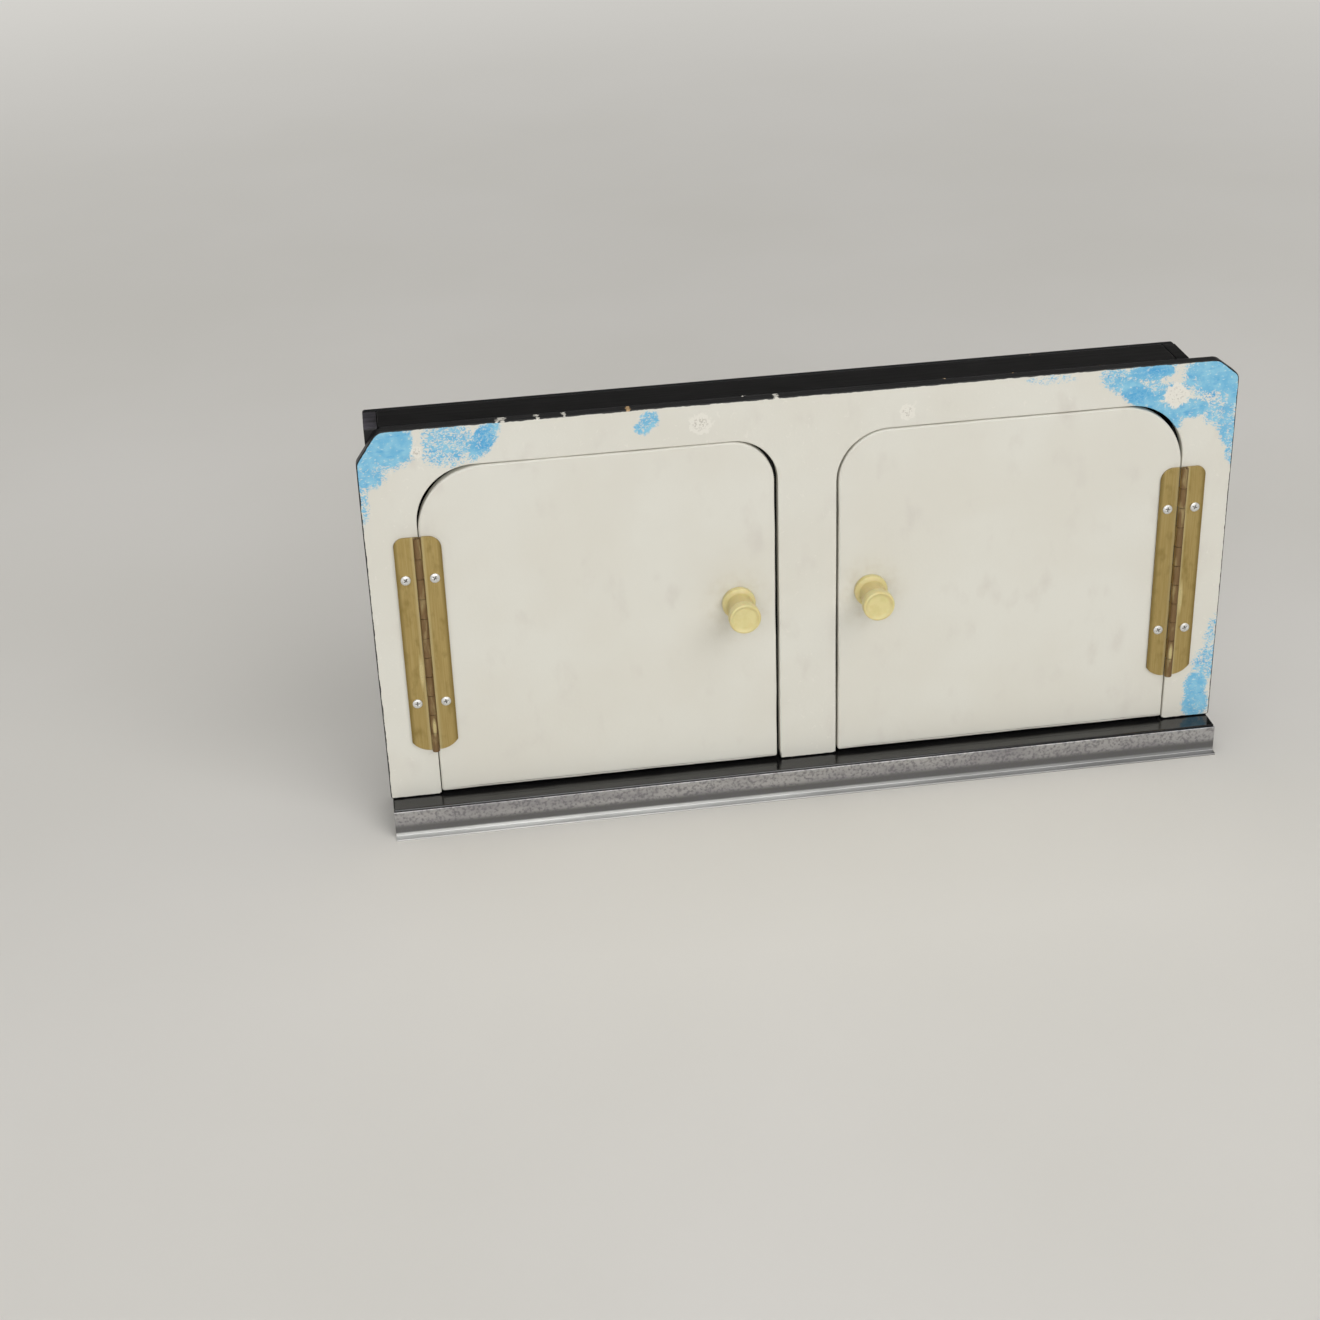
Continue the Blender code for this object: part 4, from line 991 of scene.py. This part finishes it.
ticks = np.linspace(-FLOOR_HALF, FLOOR_HALF, FLOOR_TICKS)
floor_x, floor_y = np.meshgrid(ticks, ticks)
floor_points = np.stack([floor_x, floor_y, np.zeros_like(floor_x)], -1).reshape(-1, 3)
floor_mesh = bpy.data.meshes.new("studio_floor")
floor_quads = grid_quads(FLOOR_TICKS, FLOOR_TICKS, closed=False)
floor_mesh.from_pydata(floor_points.tolist(), [], floor_quads.tolist())
floor = new_object("studio_floor", floor_mesh)
floor_finish, tree, place = start_finish("matt_studio_floor")
tone = patches(place, 400 * MM, 0.3, 0.7)
ground = add(tree, "Mix", {0: tone, 6: colour(FLOOR_COLOUR), 7: colour(FLOOR_SHADE)}, **RGBA)[2]
surface = add(tree, "BsdfPrincipled", {"Base Color": ground, "Roughness": 0.9})[0]
# Beyond the reach of the lamps the floor shows the backdrop's colour and stays pale to the horizon.
distance = add(tree, "VectorMath", {0: place}, operation="LENGTH")["Value"]
far = add(tree, "MapRange", {0: distance, 1: 0.8, 2: 3.0}, **SMOOTH)[0]
far = add(tree, "Math", {0: far, 1: background_rays(tree)}, **TIMES)[0]
glow = add(tree, "Emission", {"Color": colour(BACKDROP), "Strength": 1.0})[0]
surface = add(tree, "MixShader", {0: far, 1: surface, 2: glow})[0]
add(tree, "OutputMaterial", {"Surface": surface})
floor.data.materials.append(floor_finish)
print("floor:", 2 * FLOOR_HALF, "m square")

# %% Lamps
def soft_lamp(name, place, target, size, watts):
    """A square area lamp at a place, turned to a target."""
    lamp = bpy.data.lights.new(name, "AREA")
    lamp.size = size
    lamp.energy = watts
    holder = new_object(name, lamp)
    holder.location = place
    aim = np.array(target) - np.array(place)
    spin = math.atan2(aim[1], aim[0]) - math.pi / 2
    tilt = math.atan2(math.hypot(aim[0], aim[1]), -aim[2])
    holder.rotation_euler = (tilt, 0, spin)


MIDDLE = (0.0, 0.0, 0.12)
soft_lamp("key_lamp", (2.2, -3.2, 3.4), MIDDLE, size=3.0, watts=84)
soft_lamp("overhead_lamp", (-0.2, 0.9, 5.0), (0.0, 0.9, 0.0), size=4.5, watts=105)
soft_lamp("front_lamp", (-0.4, -4.6, 1.9), MIDDLE, size=3.5, watts=104)
soft_lamp("fill_lamp", (-3.5, -3.0, 2.0), MIDDLE, size=3.0, watts=24)

# %% World
AMBIENT = 0.13
world = bpy.data.worlds.new("quiet_studio")
world.use_nodes = True
bpy.context.scene.world = world
tree = world.node_tree
tree.nodes.clear()
ambient = add(tree, "Background", {"Color": colour("#FFFFFF"), "Strength": AMBIENT})[0]
up = add(tree, "SeparateXYZ", {0: add(tree, "TexCoord", {})["Generated"]})[2]
overhead = add(tree, "MapRange", {0: up, 1: 0.1, 2: 0.3}, **SMOOTH)[0]
sweep = add(tree, "Mix", {0: overhead, 6: colour(BACKDROP), 7: colour(CEILING)}, **RGBA)[2]
backdrop = add(tree, "Background", {"Color": sweep, "Strength": 1.0})[0]
surface = add(tree, "MixShader", {0: background_rays(tree), 1: ambient, 2: backdrop})[0]
add(tree, "OutputWorld", {"Surface": surface})
bpy.context.scene.view_settings.view_transform = "Standard"
print("world:", world.name)

# %% Camera
CAMERA_PLACE = (-0.2325, -1.1426, 0.7041)
YAW, PITCH, ROLL = 0.1269, -0.4898, -0.0386
SENSOR_MM, LENS_MM, SIGHT_M = 36, 60.98, 60
forward = np.array([math.sin(YAW) * math.cos(PITCH), math.cos(YAW) * math.cos(PITCH), math.sin(PITCH)])
level_right = np.array([math.cos(YAW), -math.sin(YAW), 0])
level_up = np.cross(level_right, forward)
right = math.cos(ROLL) * level_right + math.sin(ROLL) * level_up
up = math.cos(ROLL) * level_up - math.sin(ROLL) * level_right
pose = np.eye(4)
pose[:3] = np.column_stack([right, up, -forward, CAMERA_PLACE])
lens = bpy.data.cameras.new("photo_camera")
lens.sensor_width = SENSOR_MM
lens.lens = LENS_MM
lens.clip_end = SIGHT_M
camera = new_object("photo_camera", lens)
camera.matrix_world = Matrix(pose.tolist())
bpy.context.scene.camera = camera
print("camera looks", round(math.degrees(-PITCH), 1), "degrees down")
